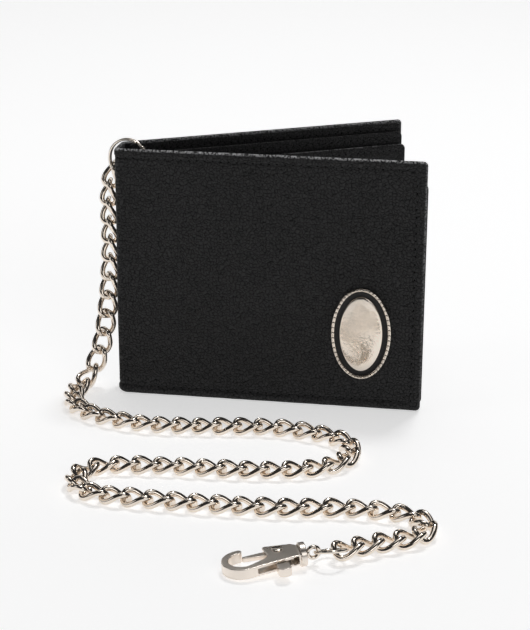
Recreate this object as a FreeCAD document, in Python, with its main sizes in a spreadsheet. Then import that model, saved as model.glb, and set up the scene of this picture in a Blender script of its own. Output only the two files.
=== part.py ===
import FreeCAD, Part
import os, math
from FreeCAD import Vector, Placement, Rotation

# Bifold wallet of pebbled leather, standing open on its lower edges, with a
# split ring in an eyelet in the fold, a curb chain and a swivel trigger hook.
# Millimetres, +Z up.  The front half lies in a plane of constant Y and faces
# -Y, the fold is at -X, and the back half turns about a vertical line at the
# rear edge of the fold.

doc = FreeCAD.newDocument("ChainWallet")

# ---------------------------------------------------------------- dimensions
DIMS = [
    ("cover_width", 107.0), ("cover_height", 89.0), ("leather_thick", 1.3),
    ("lining_thick", 0.4), ("divider_thick", 0.6), ("pocket_thick", 0.6),
    ("bill_gap", 0.6), ("pocket_gap", 0.1), ("open_angle", 30.0),
    ("spine_depth", 9.75), ("hinge_y", 10.4), ("hinge_x", 0.65),
    ("fold_radius", 1.5), ("foot_radius", 3.0),
    ("pocket_start", 13.0), ("divider_top", 85.0), ("panel_top", 80.6),
    ("pocket_top", 70.0), ("panel_proud", 0.5), ("foot_gap", 1.2),
    ("eyelet_y", 5.4), ("eyelet_z", 78.2), ("eyelet_bore", 4.2),
    ("eyelet_barrel", 5.0), ("eyelet_flange", 7.0), ("flange_thick", 0.5),
    ("ring_radius", 7.05), ("ring_wire", 0.45), ("ring_turn_step", 0.42),
    ("emblem_width", 20.8), ("emblem_height", 33.0), ("emblem_x", 86.0),
    ("emblem_z", 27.4), ("emblem_thick", 1.0), ("emblem_rim", 1.3),
    ("post_radius", 0.8), ("post_spread", 16.0),
    ("link_pitch", 6.89), ("link_wire", 0.82), ("link_half_width", 2.85),
    ("link_straight", 3.01), ("link_roll", 45.0),
    ("jump_radius", 4.6), ("jump_wire", 0.5),
    ("hook_thick", 3.2), ("hook_slot", 1.5), ("gate_thick", 1.3),
    ("collar_radius", 3.5), ("collar_thick", 1.8), ("swivel_pin", 0.8),
    ("swivel_bore", 0.88), ("eye_radius", 1.7), ("eye_wire", 0.6),
    ("rivet_radius", 0.9), ("rivet_bore", 0.96), ("rivet_head", 1.7),
    ("loop_x", 17.3), ("loop_outer", 6.0), ("loop_inner", 4.0),
    ("shift_x", -51.85), ("shift_y", -31.57),
]
sheet = doc.addObject("Spreadsheet::Sheet", "Dims")
for i, (name, value) in enumerate(DIMS):
    sheet.set("A%d" % (i + 1), name)
    sheet.set("B%d" % (i + 1), repr(float(value)))
    sheet.setAlias("B%d" % (i + 1), name)
doc.recompute()
D = {name: float(getattr(sheet, name)) for name, _ in DIMS}
W, HT, LT = D["cover_width"], D["cover_height"], D["leather_thick"]
SHIFT = Vector(D["shift_x"], D["shift_y"], 0)
AT_WALLET = Placement(SHIFT, Rotation())
# the back half is drawn closed against the front half, then opened
AXIS = Vector(D["hinge_x"], D["hinge_y"], 0)
OPEN = Rotation(Vector(0, 0, 1), D["open_angle"])
AT_BACK = Placement(SHIFT + AXIS, OPEN)

NODES = []      # (label, document object)


def keep(label, obj):
    obj.Label = label
    NODES.append((label, obj))
    return obj


def plane(body, role):
    return [f for f in body.Origin.OriginFeatures if f.Role == role][0]


def new_body(label, placement):
    body = doc.addObject("PartDesign::Body", label)
    body.Placement = placement
    keep(label, body)
    return body


def new_sketch(body, name, role="XZ_Plane", offset=None):
    sk = body.newObject("Sketcher::SketchObject", name)
    sk.AttachmentSupport = [(plane(body, role), "")]
    sk.MapMode = "FlatFace"
    if offset is not None:
        sk.AttachmentOffset = Placement(offset, Rotation())
    return sk


def loop(sk, pts):
    """closed outline of straight sides and 3-point arcs: (x, y) or (x, y, mid_x, mid_y)
    where the middle point makes the side that ends at this vertex an arc"""
    n = len(pts)
    ids = []
    for i in range(n):
        a, b = pts[i - 1], pts[i]
        p, q = Vector(a[0], a[1], 0), Vector(b[0], b[1], 0)
        if len(b) == 4:
            g = Part.Arc(p, Vector(b[2], b[3], 0), q)
        else:
            g = Part.LineSegment(p, q)
        ids.append(sk.addGeometry(g, False))
    return ids


def rectangle(sk, x0, z0, x1, z1, names):
    """a rectangle with its four distances from the origin bound to the sheet"""
    import Sketcher
    g = [Part.LineSegment(Vector(a, b, 0), Vector(c, d, 0)) for a, b, c, d in
         ((x0, z0, x1, z0), (x1, z0, x1, z1), (x1, z1, x0, z1), (x0, z1, x0, z0))]
    sk.addGeometry(g, False)
    for i in range(4):
        sk.addConstraint(Sketcher.Constraint("Coincident", i, 2, (i + 1) % 4, 1))
    for i in (0, 2):
        sk.addConstraint(Sketcher.Constraint("Horizontal", i))
    for i in (1, 3):
        sk.addConstraint(Sketcher.Constraint("Vertical", i))
    for (geo, pos, kind, key) in ((0, 1, "DistanceX", "left"), (0, 1, "DistanceY", "low"),
                                  (1, 2, "DistanceX", "right"), (1, 2, "DistanceY", "high")):
        val = {"left": x0, "low": z0, "right": x1, "high": z1}[key]
        if val is None or key not in names:
            # a distance of zero is a point on an axis
            if abs(val) < 1e-9:
                sk.addConstraint(Sketcher.Constraint("PointOnObject", geo, pos, -2 if kind == "DistanceX" else -1))
            else:
                sk.addConstraint(Sketcher.Constraint(kind, -1, 1, geo, pos, val))
            continue
        c = sk.addConstraint(Sketcher.Constraint(kind, -1, 1, geo, pos, val))
        sk.renameConstraint(c, key)
        sk.setExpression("Constraints." + key, names[key])


def pad(body, sk, length, expr=None, reverse=False, mid=False):
    p = body.newObject("PartDesign::Pad", "Pad")
    p.Profile = sk
    p.Length = length
    if expr:
        p.setExpression("Length", expr)
    p.Reversed = reverse
    p.Midplane = mid
    body.Tip = p
    return p


def pocket(body, sk, length, reverse=False, through=False, mid=False):
    """a cut that must take material away"""
    doc.recompute()
    before = body.Shape.Volume
    p = body.newObject("PartDesign::Pocket", "Pocket")
    p.Profile = sk
    if through:
        p.Type = "ThroughAll"
    else:
        p.Length = length
    p.Midplane = mid
    p.Reversed = reverse
    body.Tip = p
    doc.recompute()
    if body.Shape.Volume > before - 1e-6:
        p.Reversed = not reverse
        doc.recompute()
    if body.Shape.Volume > before - 1e-6:
        raise RuntimeError("cut took nothing: " + body.Label)
    return p


def circle(sk, x, y, r):
    sk.addGeometry(Part.Circle(Vector(x, y, 0), Vector(0, 0, 1), r), False)


# sketches on the XZ plane are drawn in (X, Z) and pad towards -Y; reversed pads go to +Y
def sheet_plate(label, placement, y0, thick, x0, z0, x1, z1, names, expr):
    body = new_body(label, placement)
    sk = new_sketch(body, label + "_outline", "XZ_Plane", Vector(0, 0, -y0))
    rectangle(sk, x0, z0, x1, z1, names)
    pad(body, sk, thick, expr, reverse=True)
    return body


# ------------------------------------------------------------ the front half
R3 = D["foot_radius"]
S = "Dims."
# the outer leather: one plate, its lower corner at the fold rounded
x_c = D["fold_radius"] + 0.3
z_arc = R3 - math.sqrt(R3 ** 2 - (R3 - x_c) ** 2)
a0 = math.atan2(z_arc - R3, x_c - R3)
am = (a0 - math.pi / 2) / 2
arc_mid = (R3 + R3 * math.cos((a0 + -math.pi / 2) / 2), R3 + R3 * math.sin((a0 + -math.pi / 2) / 2))
front = new_body("cover_front", AT_WALLET)
sk = new_sketch(front, "cover_front_outline", "XZ_Plane")
loop(sk, [(x_c, z_arc), (R3, 0.0, arc_mid[0], arc_mid[1]), (W, 0.0), (W, HT), (x_c, HT)])
pad(front, sk, LT, S + "leather_thick", reverse=True)
posts = [(D["emblem_x"], D["emblem_z"] + s * D["post_spread"] / 2) for s in (-1, 1)]
sk = new_sketch(front, "post_holes", "XZ_Plane")
for px, pz in posts:
    circle(sk, px, pz, D["post_radius"] + 0.05)
pocket(front, sk, 5, through=True)

# the fold: front corner, flat rear wall; drawn in plan and extruded upwards
spine = new_body("fold_spine", AT_WALLET)
sk = new_sketch(spine, "spine_plan", "XY_Plane")
FR, SD = D["fold_radius"], D["spine_depth"] - 0.3
k = math.sqrt(0.5)
loop(sk, [(x_c, 0.0), (x_c, LT), (LT, LT), (LT, SD), (0.0, SD), (0.0, FR),
          (FR, 0.0, FR - FR * k, FR - FR * k)])
pad(spine, sk, HT, S + "cover_height")
# its foot is rounded in the same curve as the cover's corner
sk = new_sketch(spine, "foot_round", "XZ_Plane")
loop(sk, [(-1.0, -1.0), (R3, -1.0), (R3, 0.0), (0.0, R3, R3 - R3 * k, R3 - R3 * k), (-1.0, R3)])
pocket(spine, sk, 30, through=False, mid=True)
# hole for the eyelet, along X
sk = new_sketch(spine, "eyelet_hole", "YZ_Plane")
circle(sk, D["eyelet_y"], D["eyelet_z"], D["eyelet_barrel"] / 2)
pocket(spine, sk, 10, mid=True)

# the linings, glued to the inside of the leather
lin = sheet_plate("lining_front", AT_WALLET, LT, D["lining_thick"], 2.2, 3.2, W - 0.8, HT - 0.6,
                  {}, S + "lining_thick")
sk = new_sketch(lin, "post_holes_lining", "XZ_Plane")
for px, pz in posts:
    circle(sk, px, pz, D["post_radius"] + 0.05)
pocket(lin, sk, 20, mid=True)
lsp = new_body("lining_spine", AT_WALLET)
sk = new_sketch(lsp, "lining_spine_outline", "YZ_Plane", Vector(0, 0, LT))
rectangle(sk, LT + D["lining_thick"] + 0.1, 3.2, SD - 0.1, HT - 0.6, {})
pad(lsp, sk, D["lining_thick"], S + "lining_thick")
sk = new_sketch(lsp, "eyelet_hole_lining", "YZ_Plane")
circle(sk, D["eyelet_y"], D["eyelet_z"], D["eyelet_barrel"] / 2)
pocket(lsp, sk, 20, mid=True)

# bill divider and two stepped card pockets, front half
y = LT + D["lining_thick"] + D["bill_gap"]
XS, FG = D["pocket_start"], D["foot_gap"]
sheet_plate("bill_divider_front", AT_WALLET, y, D["divider_thick"], XS, FG, W - 0.6, D["divider_top"],
            {"left": S + "pocket_start", "high": S + "divider_top", "low": S + "foot_gap"}, S + "divider_thick")
y += D["divider_thick"] + D["pocket_gap"]
sheet_plate("card_pocket_front", AT_WALLET, y, D["pocket_thick"], XS, FG, W - 0.6, D["pocket_top"],
            {"left": S + "pocket_start", "high": S + "pocket_top", "low": S + "foot_gap"}, S + "pocket_thick")
# the panel nearest the opening stands a little proud of the cover's free edge
y_up = y
y += D["pocket_thick"] + D["pocket_gap"]
sheet_plate("inner_panel_front", AT_WALLET, y, D["pocket_thick"], XS, FG, W + D["panel_proud"], D["panel_top"],
            {"left": S + "pocket_start", "high": S + "panel_top", "low": S + "foot_gap"}, S + "pocket_thick")
FRONT_IN = y + D["pocket_thick"]
# welt that closes the pockets' side at the free edge
sheet_plate("edge_welt_front", AT_WALLET, LT + D["lining_thick"], D["bill_gap"], W - 6.0, FG, W - 0.6, 72.0, {}, None)
# bottom welt, joins the bill divider to the cover along the bottom
sheet_plate("foot_welt_front", AT_WALLET, LT + D["lining_thick"], D["bill_gap"], XS, FG, W - 6.2, 5.0, {}, None)

# ------------------------------------------------------------- the back half
# local frame: origin on the fold's axis, X along the half, outer face at +Y
BO = LT / 2                       # outer face
back = new_body("cover_back", AT_BACK)
sk = new_sketch(back, "cover_back_plan", "XY_Plane")
BW = W - D["hinge_x"]
loop(sk, [(0.0, -BO, -BO, 0.0), (BW, -BO), (BW, BO), (0.0, BO)])
pad(back, sk, HT, S + "cover_height")
b_in = -BO - D["lining_thick"]
sheet_plate("lining_back", AT_BACK, b_in, D["lining_thick"], 1.9, 0.8, BW - 0.8, HT - 0.6, {}, S + "lining_thick")
y = b_in - D["bill_gap"] - D["divider_thick"]
XB = XS - D["hinge_x"]
sheet_plate("bill_divider_back", AT_BACK, y, D["divider_thick"], XB, FG, BW - 0.6, D["divider_top"],
            {"high": S + "divider_top", "low": S + "foot_gap"}, S + "divider_thick")
y -= D["pocket_gap"] + D["pocket_thick"]
sheet_plate("card_pocket_back", AT_BACK, y, D["pocket_thick"], XB, FG, BW - 0.6, D["pocket_top"],
            {"high": S + "pocket_top", "low": S + "foot_gap"}, S + "pocket_thick")
y -= D["pocket_gap"] + D["pocket_thick"]
sheet_plate("inner_panel_back", AT_BACK, y, D["pocket_thick"], XB, FG, BW + D["panel_proud"], D["panel_top"],
            {"high": S + "panel_top", "low": S + "foot_gap"}, S + "pocket_thick")
sheet_plate("edge_welt_back", AT_BACK, b_in - D["bill_gap"], D["bill_gap"], BW - 6.0, FG, BW - 0.6, 72.0, {}, None)
sheet_plate("foot_welt_back", AT_BACK, b_in - D["bill_gap"], D["bill_gap"], XB, FG, BW - 6.2, 5.0, {}, None)

# ------------------------------------------------------------------- eyelet
# turned about the X axis at the eyelet's height: flange and barrel, then washer
def revolve_x(label, pts, placement):
    body = new_body(label, placement)
    sk = new_sketch(body, label + "_profile", "XY_Plane")
    loop(sk, pts)
    r = body.newObject("PartDesign::Revolution", "Revolution")
    r.Profile = sk
    r.ReferenceAxis = (sk, ["H_Axis"])
    r.Angle = 360
    body.Tip = r
    return body


EY = Placement(SHIFT + Vector(0, D["eyelet_y"], D["eyelet_z"]), Rotation())
rb, rr, rf, ft = D["eyelet_bore"] / 2, D["eyelet_barrel"] / 2, D["eyelet_flange"] / 2, D["flange_thick"]
inner_x = LT + D["lining_thick"]
revolve_x("eyelet", [(-ft, rb + 0.25), (-ft, rf - 0.2), (-ft + 0.2, rf), (0.0, rf), (0.0, rr - 0.05),
                     (inner_x + 0.05, rr - 0.05), (inner_x + 0.05, rb), (-ft + 0.25, rb)], EY)
revolve_x("eyelet_washer", [(inner_x, rr), (inner_x + ft - 0.1, rr + 0.1), (inner_x + ft - 0.1, rf - 0.4),
                            (inner_x, rf - 0.4)], EY)

# --------------------------------------------------------------- split ring
# two turns of round wire side by side; the ring's plane is turned a little
# from the plane of the front half, so that it passes through the eyelet
RING_TURN = 13.0
ring_c = Vector(4.0, D["eyelet_y"] - 3.35 * math.tan(math.radians(RING_TURN)) - 0.1, 84.25)
ring_n = Rotation(Vector(0, 0, 1), -RING_TURN).multVec(Vector(0, 1, 0))
RING_ROT = Rotation(Vector(0, 0, 1), ring_n)
tori = []
for s in (-1, 1):
    t = doc.addObject("Part::Torus", "ring_turn")
    t.setExpression("Radius1", S + "ring_radius")
    t.setExpression("Radius2", S + "ring_wire")
    t.Placement = Placement(SHIFT + ring_c + ring_n * (s * D["ring_turn_step"]), RING_ROT)
    tori.append(t)
ring = doc.addObject("Part::Fuse", "split_ring")
ring.Base, ring.Tool = tori
keep("split_ring", ring)

# ------------------------------------------------------------------- emblem
# plain oval badge: base plate with a raised rim, a recessed field round a
# raised middle, and two posts through the leather, clinched on washers
def oval(sk, w, h):
    """an ellipse of width w and height h about the sketch's origin"""
    e = Part.Ellipse(Vector(0, h / 2, 0), Vector(w / 2, 0, 0), Vector(0, 0, 0))
    sk.addGeometry(e, False)


EMB = Placement(SHIFT + Vector(D["emblem_x"], 0, D["emblem_z"]), Rotation())
ew, eh, et, er = D["emblem_width"], D["emblem_height"], D["emblem_thick"], D["emblem_rim"]
emblem = new_body("emblem_plate", EMB)
sk = new_sketch(emblem, "plate_outline", "XZ_Plane")
oval(sk, ew, eh)
pad(emblem, sk, et, S + "emblem_thick")
sk = new_sketch(emblem, "field", "XZ_Plane", Vector(0, 0, et))
oval(sk, ew - 2 * er, eh - 2 * er)
oval(sk, ew - 2 * er - 3.6, eh - 2 * er - 3.6)
pocket(emblem, sk, 0.45)
sk = new_sketch(emblem, "posts", "XZ_Plane")
for s_ in (-1, 1):
    circle(sk, 0, s_ * D["post_spread"] / 2, D["post_radius"])
pad(emblem, sk, LT + D["lining_thick"] + 0.35, None, reverse=True)
wash = new_body("emblem_washer_top", EMB)
sk = new_sketch(wash, "washer_top", "XZ_Plane", Vector(0, 0, -(LT + D["lining_thick"])))
circle(sk, 0, D["post_spread"] / 2, 2.2)
circle(sk, 0, D["post_spread"] / 2, D["post_radius"] + 0.02)
pad(wash, sk, 0.3, None, reverse=True)
wash2 = new_body("emblem_washer_low", EMB)
sk = new_sketch(wash2, "washer_low", "XZ_Plane", Vector(0, 0, -(LT + D["lining_thick"])))
circle(sk, 0, -D["post_spread"] / 2, 2.2)
circle(sk, 0, -D["post_spread"] / 2, D["post_radius"] + 0.02)
pad(wash2, sk, 0.3, None, reverse=True)

# -------------------------------------------------------------------- chain
# One link: a stadium of round wire, rolled 45 degrees one way and then the
# other along the chain, so that neighbours stand square to each other.
lw, lb, ls = D["link_wire"], D["link_half_width"], D["link_straight"]


def make_link():
    X = Vector(1, 0, 0)
    parts = []
    for s in (-1, 1):
        c = Part.makeCylinder(lw, ls, Vector(-ls / 2, s * lb, 0), X)
        parts.append(c)
        t = Part.makeTorus(lb, lw, Vector(0, 0, 0), Vector(0, 0, 1), -180, 180, 180)
        # half a torus on the side of +Y, turned to the end of the link
        t.Placement = Placement(Vector(s * ls / 2, 0, 0), Rotation(Vector(0, 0, 1), -90 * s))
        parts.append(t)
    out = parts[0]
    for p in parts[1:]:
        out = out.fuse(p)
    return out.removeSplitter()


LINK = make_link()
expect = math.pi * lw ** 2 * (2 * ls + 2 * math.pi * lb)
print("link volume %.2f, section times length %.2f" % (LINK.Volume, expect))
if abs(LINK.Volume - expect) > 0.01 * expect or not LINK.isValid() or len(LINK.Solids) != 1:
    raise RuntimeError("link solid is wrong")

# the route of the chain's middle line, control points of a smooth curve in
# the wallet's frame: from the ring, down beside the fold, and in four runs
# over the surface that the wallet stands on, to the jump ring
LZ = 2.9        # height of the middle line of a link lying down
# the hook lies at the chain's end: its collar's middle, the heading of its axis
# from the hook towards the chain, and the droop of its tip onto the surface
HEAD = 22.3
COLLAR = Vector(82.5, -121.4, 3.6)
EYE_AT = 3.3       # eye's middle from the collar's middle
DROOP = 4.6
ax = Rotation(Vector(0, 0, 1), HEAD).multVec(Vector(1, 0, 0))
to_chain = Vector(0.947, 0.32, 0)
to_chain.normalize()
jump_c = COLLAR + ax * (EYE_AT + 0.45) + to_chain * D["jump_radius"]
jump_c.z = 3.8
END = jump_c + to_chain * (D["jump_radius"] - 2.6)
END = (END.x, END.y, 3.6)
ROUTE = [
    (-1.3, 5.75, 81.55), (-3.8, 5.95, 74.8), (-4.6, 6.0, 67.0), (-4.05, 6.0, 54.0), (-4.5, 6.0, 41.0),
    (-5.6, 5.9, 27.5), (-7.4, 5.4, 14.5), (-10.4, 3.6, 5.6), (-13.0, -0.6, LZ), (-14.13, -6.99, LZ),
    (-13.03, -14.48, LZ), (-11.22, -19.91, LZ), (-4.83, -26.13, LZ), (5.03, -30.53, LZ), (17.14, -33.21, LZ),
    (31.54, -32.18, LZ), (45.6, -29.98, LZ), (58.91, -28.01, LZ), (71.5, -29.9, LZ), (80.6, -32.6, LZ),
    (86.2, -37.2, LZ), (88.9, -44.8, LZ), (86.6, -52.7, LZ), (81.4, -58.0, LZ), (73.2, -61.4, LZ),
    (61.17, -63.8, LZ), (47.21, -64.93, LZ), (33.27, -65.16, LZ), (20.47, -66.39, LZ), (10.8, -68.0, LZ),
    (6.0, -72.6, LZ), (4.4, -79.0, LZ), (6.8, -85.2, LZ), (11.4, -88.9, LZ), (19.0, -90.1, LZ),
    (30.83, -90.62, LZ), (45.14, -90.84, LZ), (60.55, -90.82, LZ), (75.74, -89.74, LZ), (90.26, -86.56, LZ),
    (103.48, -86.85, LZ), (110.4, -88.3, LZ), (115.4, -91.6, LZ), (117.2, -97.2, LZ), (114.6, -102.8, LZ),
    (108.4, -106.0, LZ), (100.4, -110.8, 3.1), END,
]


def nurbs_point(points, t):
    """a clamped quadratic NURBS with the points as its control points"""
    n = len(points)
    knots = [0, 0, 0] + list(range(1, n - 2)) + [n - 2] * 3
    curve = nurbs_point.curve
    if curve is None:
        c = Part.BSplineCurve()
        mult, vals = [], []
        for kv in knots:
            if vals and vals[-1] == kv:
                mult[-1] += 1
            else:
                vals.append(kv)
                mult.append(1)
        c.buildFromPolesMultsKnots([Vector(*p) for p in points], mult, [float(v) for v in vals], False, 2)
        nurbs_point.curve = curve = c
    return curve.value(t)


nurbs_point.curve = None
T1 = len(ROUTE) - 2.0
fine = [nurbs_point(ROUTE, T1 * i / 6000.0) for i in range(6001)]
route_len = sum((fine[i + 1] - fine[i]).Length for i in range(6000))
# stations at equal straight distances of about one pitch, end to end
count = int(round(route_len / D["link_pitch"]))


def stations(pitch):
    out, last = [fine[0]], 0
    for i in range(1, len(fine)):
        if (fine[i] - out[-1]).Length >= pitch:
            a, b = fine[i - 1], fine[i]
            out.append(b)
    return out


lo, hi = 6.4, 7.4
for _ in range(40):
    mid = (lo + hi) / 2
    st = stations(mid)
    if len(st) - 1 >= count:
        lo = mid
    else:
        hi = mid
pitch = lo
st = stations(pitch)[: count + 1]
print("chain: %d links, pitch %.3f, middle line %.1f mm" % (count, pitch, route_len))

links = []
up = Vector(0, -1, 0)
for i in range(count):
    a, b = st[i], st[i + 1]
    x = (b - a)
    x.normalize()
    # the flat of the chain faces the viewer while it hangs and up when it lies
    t = (a.z + b.z) / 2
    blend = max(0.0, min(1.0, (14.0 - t) / 9.0))
    want = Vector(0, -1, 0) * (1 - blend) + Vector(0, 0, 1) * blend
    if t > 60:
        turn = min(1.0, (t - 60) / 18.0)
        want = Rotation(Vector(0, 0, 1), -45 * turn).multVec(want)
    z = want - x * want.dot(x)
    z.normalize()
    y_ = z.cross(x)
    roll = D["link_roll"] * (1 if i % 2 == 0 else -1)
    rot = Rotation(x, y_, z, "XYZ").multiply(Rotation(Vector(1, 0, 0), roll))
    mid_pt = (a + b) * 0.5
    s = LINK.copy()
    s.Placement = Placement(SHIFT + mid_pt, rot)
    links.append((mid_pt, s))

GROUPS = []
marks = [("chain_hanging", lambda i, p: p.z > 8.0)]


def group_of(i, p):
    if p.z > 8.0 and p.y > 0:
        return "chain_hanging"
    if p.y > -30.0 and p.x < 0.5:
        return "chain_bend_a"
    if p.y > -41.0 and p.x < 84:
        return "chain_run_a"
    if p.y > -60.5 and p.x > 76:
        return "chain_bend_b"
    if p.y > -72.0 and p.x > 8:
        return "chain_run_b"
    if p.x < 12.0:
        return "chain_bend_c"
    if p.x < 108.0 and p.y > -97.0:
        return "chain_run_c"
    if p.y > -108.5 and p.x > 107:
        return "chain_bend_d"
    return "chain_run_d"


order = ["chain_hanging", "chain_bend_a", "chain_run_a", "chain_bend_b", "chain_run_b", "chain_bend_c",
         "chain_run_c", "chain_bend_d", "chain_run_d"]
grouped = {g: [] for g in order}
for i, (p, s) in enumerate(links):
    grouped[group_of(i, p)].append(s)
for g in order:
    if not grouped[g]:
        raise RuntimeError("empty group " + g)
    f = doc.addObject("Part::Feature", g)
    f.Shape = Part.Compound(grouped[g])
    keep(g, f)
    print(g, len(grouped[g]), "links, z from %.2f" % f.Shape.BoundBox.ZMin)

# ------------------------------------------------------- jump ring and hook
JUMP_TILT = -24.0
jump = doc.addObject("Part::Torus", "jump_ring")
jump.setExpression("Radius1", S + "jump_radius")
jump.setExpression("Radius2", S + "jump_wire")
jump.Placement = Placement(SHIFT + jump_c, Rotation(to_chain, JUMP_TILT))
keep("jump_ring", jump)

# swivel: an eye on a headed pin; local X runs from the collar to the hook's tip
SW = Placement(SHIFT + COLLAR, Rotation(Vector(0, 0, 1), HEAD + 180).multiply(Rotation(Vector(0, 1, 0), DROOP)))
eye = doc.addObject("Part::Torus", "eye_ring")
eye.setExpression("Radius1", S + "eye_radius")
eye.setExpression("Radius2", S + "eye_wire")
eye.Placement = SW.multiply(Placement(Vector(-EYE_AT, 0, 0), Rotation(Vector(1, 0, 0), 90)))
pin = doc.addObject("Part::Cylinder", "swivel_shaft")
pin.setExpression("Radius", S + "swivel_pin")
pin.Height = 4.0
pin.Placement = SW.multiply(Placement(Vector(-1.75, 0, 0), Rotation(Vector(0, 1, 0), 90)))
head = doc.addObject("Part::Cylinder", "swivel_head")
head.Radius = 1.0
head.Height = 0.7
head.Placement = SW.multiply(Placement(Vector(1.75, 0, 0), Rotation(Vector(0, 1, 0), 90)))
sw = doc.addObject("Part::MultiFuse", "swivel_eye")
sw.Shapes = [eye, pin, head]
keep("swivel_eye", sw)

# hook frame in its own plane; its tip end droops onto the surface
HK = Placement(SHIFT + COLLAR, Rotation(Vector(0, 0, 1), HEAD + 180).multiply(Rotation(Vector(0, 1, 0), DROOP)))
lx, ro, ri = D["loop_x"], D["loop_outer"], D["loop_inner"]
ht = D["hook_thick"]


def polar(cx, r, deg):
    return (cx + r * math.cos(math.radians(deg)), r * math.sin(math.radians(deg)))


hook = new_body("hook_frame", HK)
sk = new_sketch(hook, "hook_outline", "XY_Plane")
tip_o, tip_i = polar(lx, ro, -92), polar(lx, ri, -92)
near_o, near_i = polar(lx, ro, 112), polar(lx, ri, 118)
mo, mi = polar(lx, ro, 10), polar(lx, ri, 13)
tm = polar(lx, (ro + ri) / 2, -92)
tm = (tm[0] - 0.75, tm[1])
loop(sk, [(0.5, -2.9), (2.2, -4.5), (9.3, -5.4), (10.5, -4.3, 10.3, -5.2), (10.1, -1.2),
          (11.6, 1.6, 10.4, 0.5), near_i, (tip_i[0], tip_i[1], mi[0], mi[1]), (tip_o[0], tip_o[1], tm[0], tm[1]),
          (near_o[0], near_o[1], mo[0], mo[1]), (0.5, 2.9)])
pad(hook, sk, ht, S + "hook_thick", mid=True)
# collar: a round disc across the axis, with the bore of the swivel pin
sk = new_sketch(hook, "collar_disc", "YZ_Plane")
circle(sk, 0, 0, D["collar_radius"])
pad(hook, sk, D["collar_thick"], S + "collar_thick", mid=True)
sk = new_sketch(hook, "swivel_hole", "YZ_Plane", Vector(0, 0, -2))
circle(sk, 0, 0, D["swivel_bore"])
pocket(hook, sk, 4.2, reverse=True)
# window across the neck, where the pin's head turns
sk = new_sketch(hook, "neck_window", "XZ_Plane")
loop(sk, [(1.55, -1.08), (3.2, -1.08), (3.2, 1.08), (1.55, 1.08)])
pocket(hook, sk, 20, mid=True)
# slot in the middle plane for the gate and its lever
sk = new_sketch(hook, "gate_slot", "XY_Plane")
loop(sk, [(4.0, -8.0), (11.0, -8.0), (11.0, -1.0), (13.3, 2.6), (14.6, 8.0), (1.4, 8.0), (1.4, 3.0), (4.0, 0.0)])
pocket(hook, sk, D["hook_slot"], mid=True)
# bore of the rivet through both cheeks
PIV = (6.6, -2.7)
sk = new_sketch(hook, "rivet_hole", "XY_Plane")
circle(sk, PIV[0], PIV[1], D["rivet_radius"])
pocket(hook, sk, 20, mid=True)

# the gate: a bar that closes the hook's mouth, hub and thumb lever in one
gate = new_body("hook_gate", HK)
sk = new_sketch(gate, "gate_outline", "XY_Plane")
gx, gy = PIV
loop(sk, [(5.0, -1.7), (5.0, -3.4), (6.2, -4.6, 5.3, -4.3), (10.8, -4.15), (16.3, -3.45), (16.2, -2.2, 16.85, -2.8),
          (9.2, -1.9), (8.2, 2.4), (8.2, 5.6), (5.4, 5.6), (5.4, 2.4)])
pad(gate, sk, D["gate_thick"], S + "gate_thick", mid=True)
sk = new_sketch(gate, "thumb_pad", "XY_Plane")
loop(sk, [(5.0, 5.3), (8.7, 5.3), (8.7, 8.3), (5.0, 8.3, 6.85, 9.2)])
pad(gate, sk, 2.6, None, mid=True)
sk = new_sketch(gate, "hub_bore", "XY_Plane")
circle(sk, gx, gy, D["rivet_bore"])
pocket(gate, sk, 20, mid=True)

riv = doc.addObject("Part::Cylinder", "rivet_shank")
riv.setExpression("Radius", S + "rivet_radius")
riv.Height = ht + 0.7
riv.Placement = HK.multiply(Placement(Vector(gx, gy, -(ht + 0.7) / 2), Rotation()))
heads = []
for s in (-1, 1):
    h_ = doc.addObject("Part::Cylinder", "rivet_cap")
    h_.setExpression("Radius", S + "rivet_head")
    h_.Height = 0.35
    h_.Placement = HK.multiply(Placement(Vector(gx, gy, ht / 2 if s > 0 else -ht / 2 - 0.35), Rotation()))
    heads.append(h_)
rv = doc.addObject("Part::MultiFuse", "hook_rivet")
rv.Shapes = [riv] + heads
keep("hook_rivet", rv)

# ------------------------------------------------------------------- output
doc.recompute()
for o in doc.Objects:
    if "Invalid" in o.State or "Error" in o.State:
        raise RuntimeError("failed: %s %s" % (o.Label, o.State))
os.makedirs("parts", exist_ok=True)
core = None
for label, obj in NODES:
    shp = obj.Shape
    if shp.isNull() or not shp.isValid():
        raise RuntimeError("bad shape: " + label)
    shp.exportStep("parts/%s.step" % label)
    bb = shp.BoundBox
    print("%-20s solids %2d vol %9.1f  x %7.2f %7.2f  y %7.2f %7.2f  z %6.2f %6.2f" % (
        label, len(shp.Solids), shp.Volume, bb.XMin, bb.XMax, bb.YMin, bb.YMax, bb.ZMin, bb.ZMax))
    if not (label.startswith("chain_") or label in ("jump_ring", "swivel_eye", "hook_frame", "hook_gate", "hook_rivet")):
        core = bb if core is None else core.united(bb) if hasattr(core, "united") else core
        core = FreeCAD.BoundBox(core)
        core.add(bb)
print("wallet box x %.2f %.2f y %.2f %.2f z %.2f %.2f" % (core.XMin, core.XMax, core.YMin, core.YMax, core.ZMin, core.ZMax))
print("ring: centre", (SHIFT + ring_c), "normal", ring_n)
print("hook: collar", SHIFT + COLLAR, "axis", ax, "pivot", HK.multVec(Vector(gx, gy, 0)), "pivot axis", HK.Rotation.multVec(Vector(0, 0, 1)), "hook axis", HK.Rotation.multVec(Vector(1, 0, 0)))
print("fold axis", SHIFT + AXIS)
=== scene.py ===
import math
import random

import bmesh
import bpy
import numpy as np
from mathutils import Matrix, Vector


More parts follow.
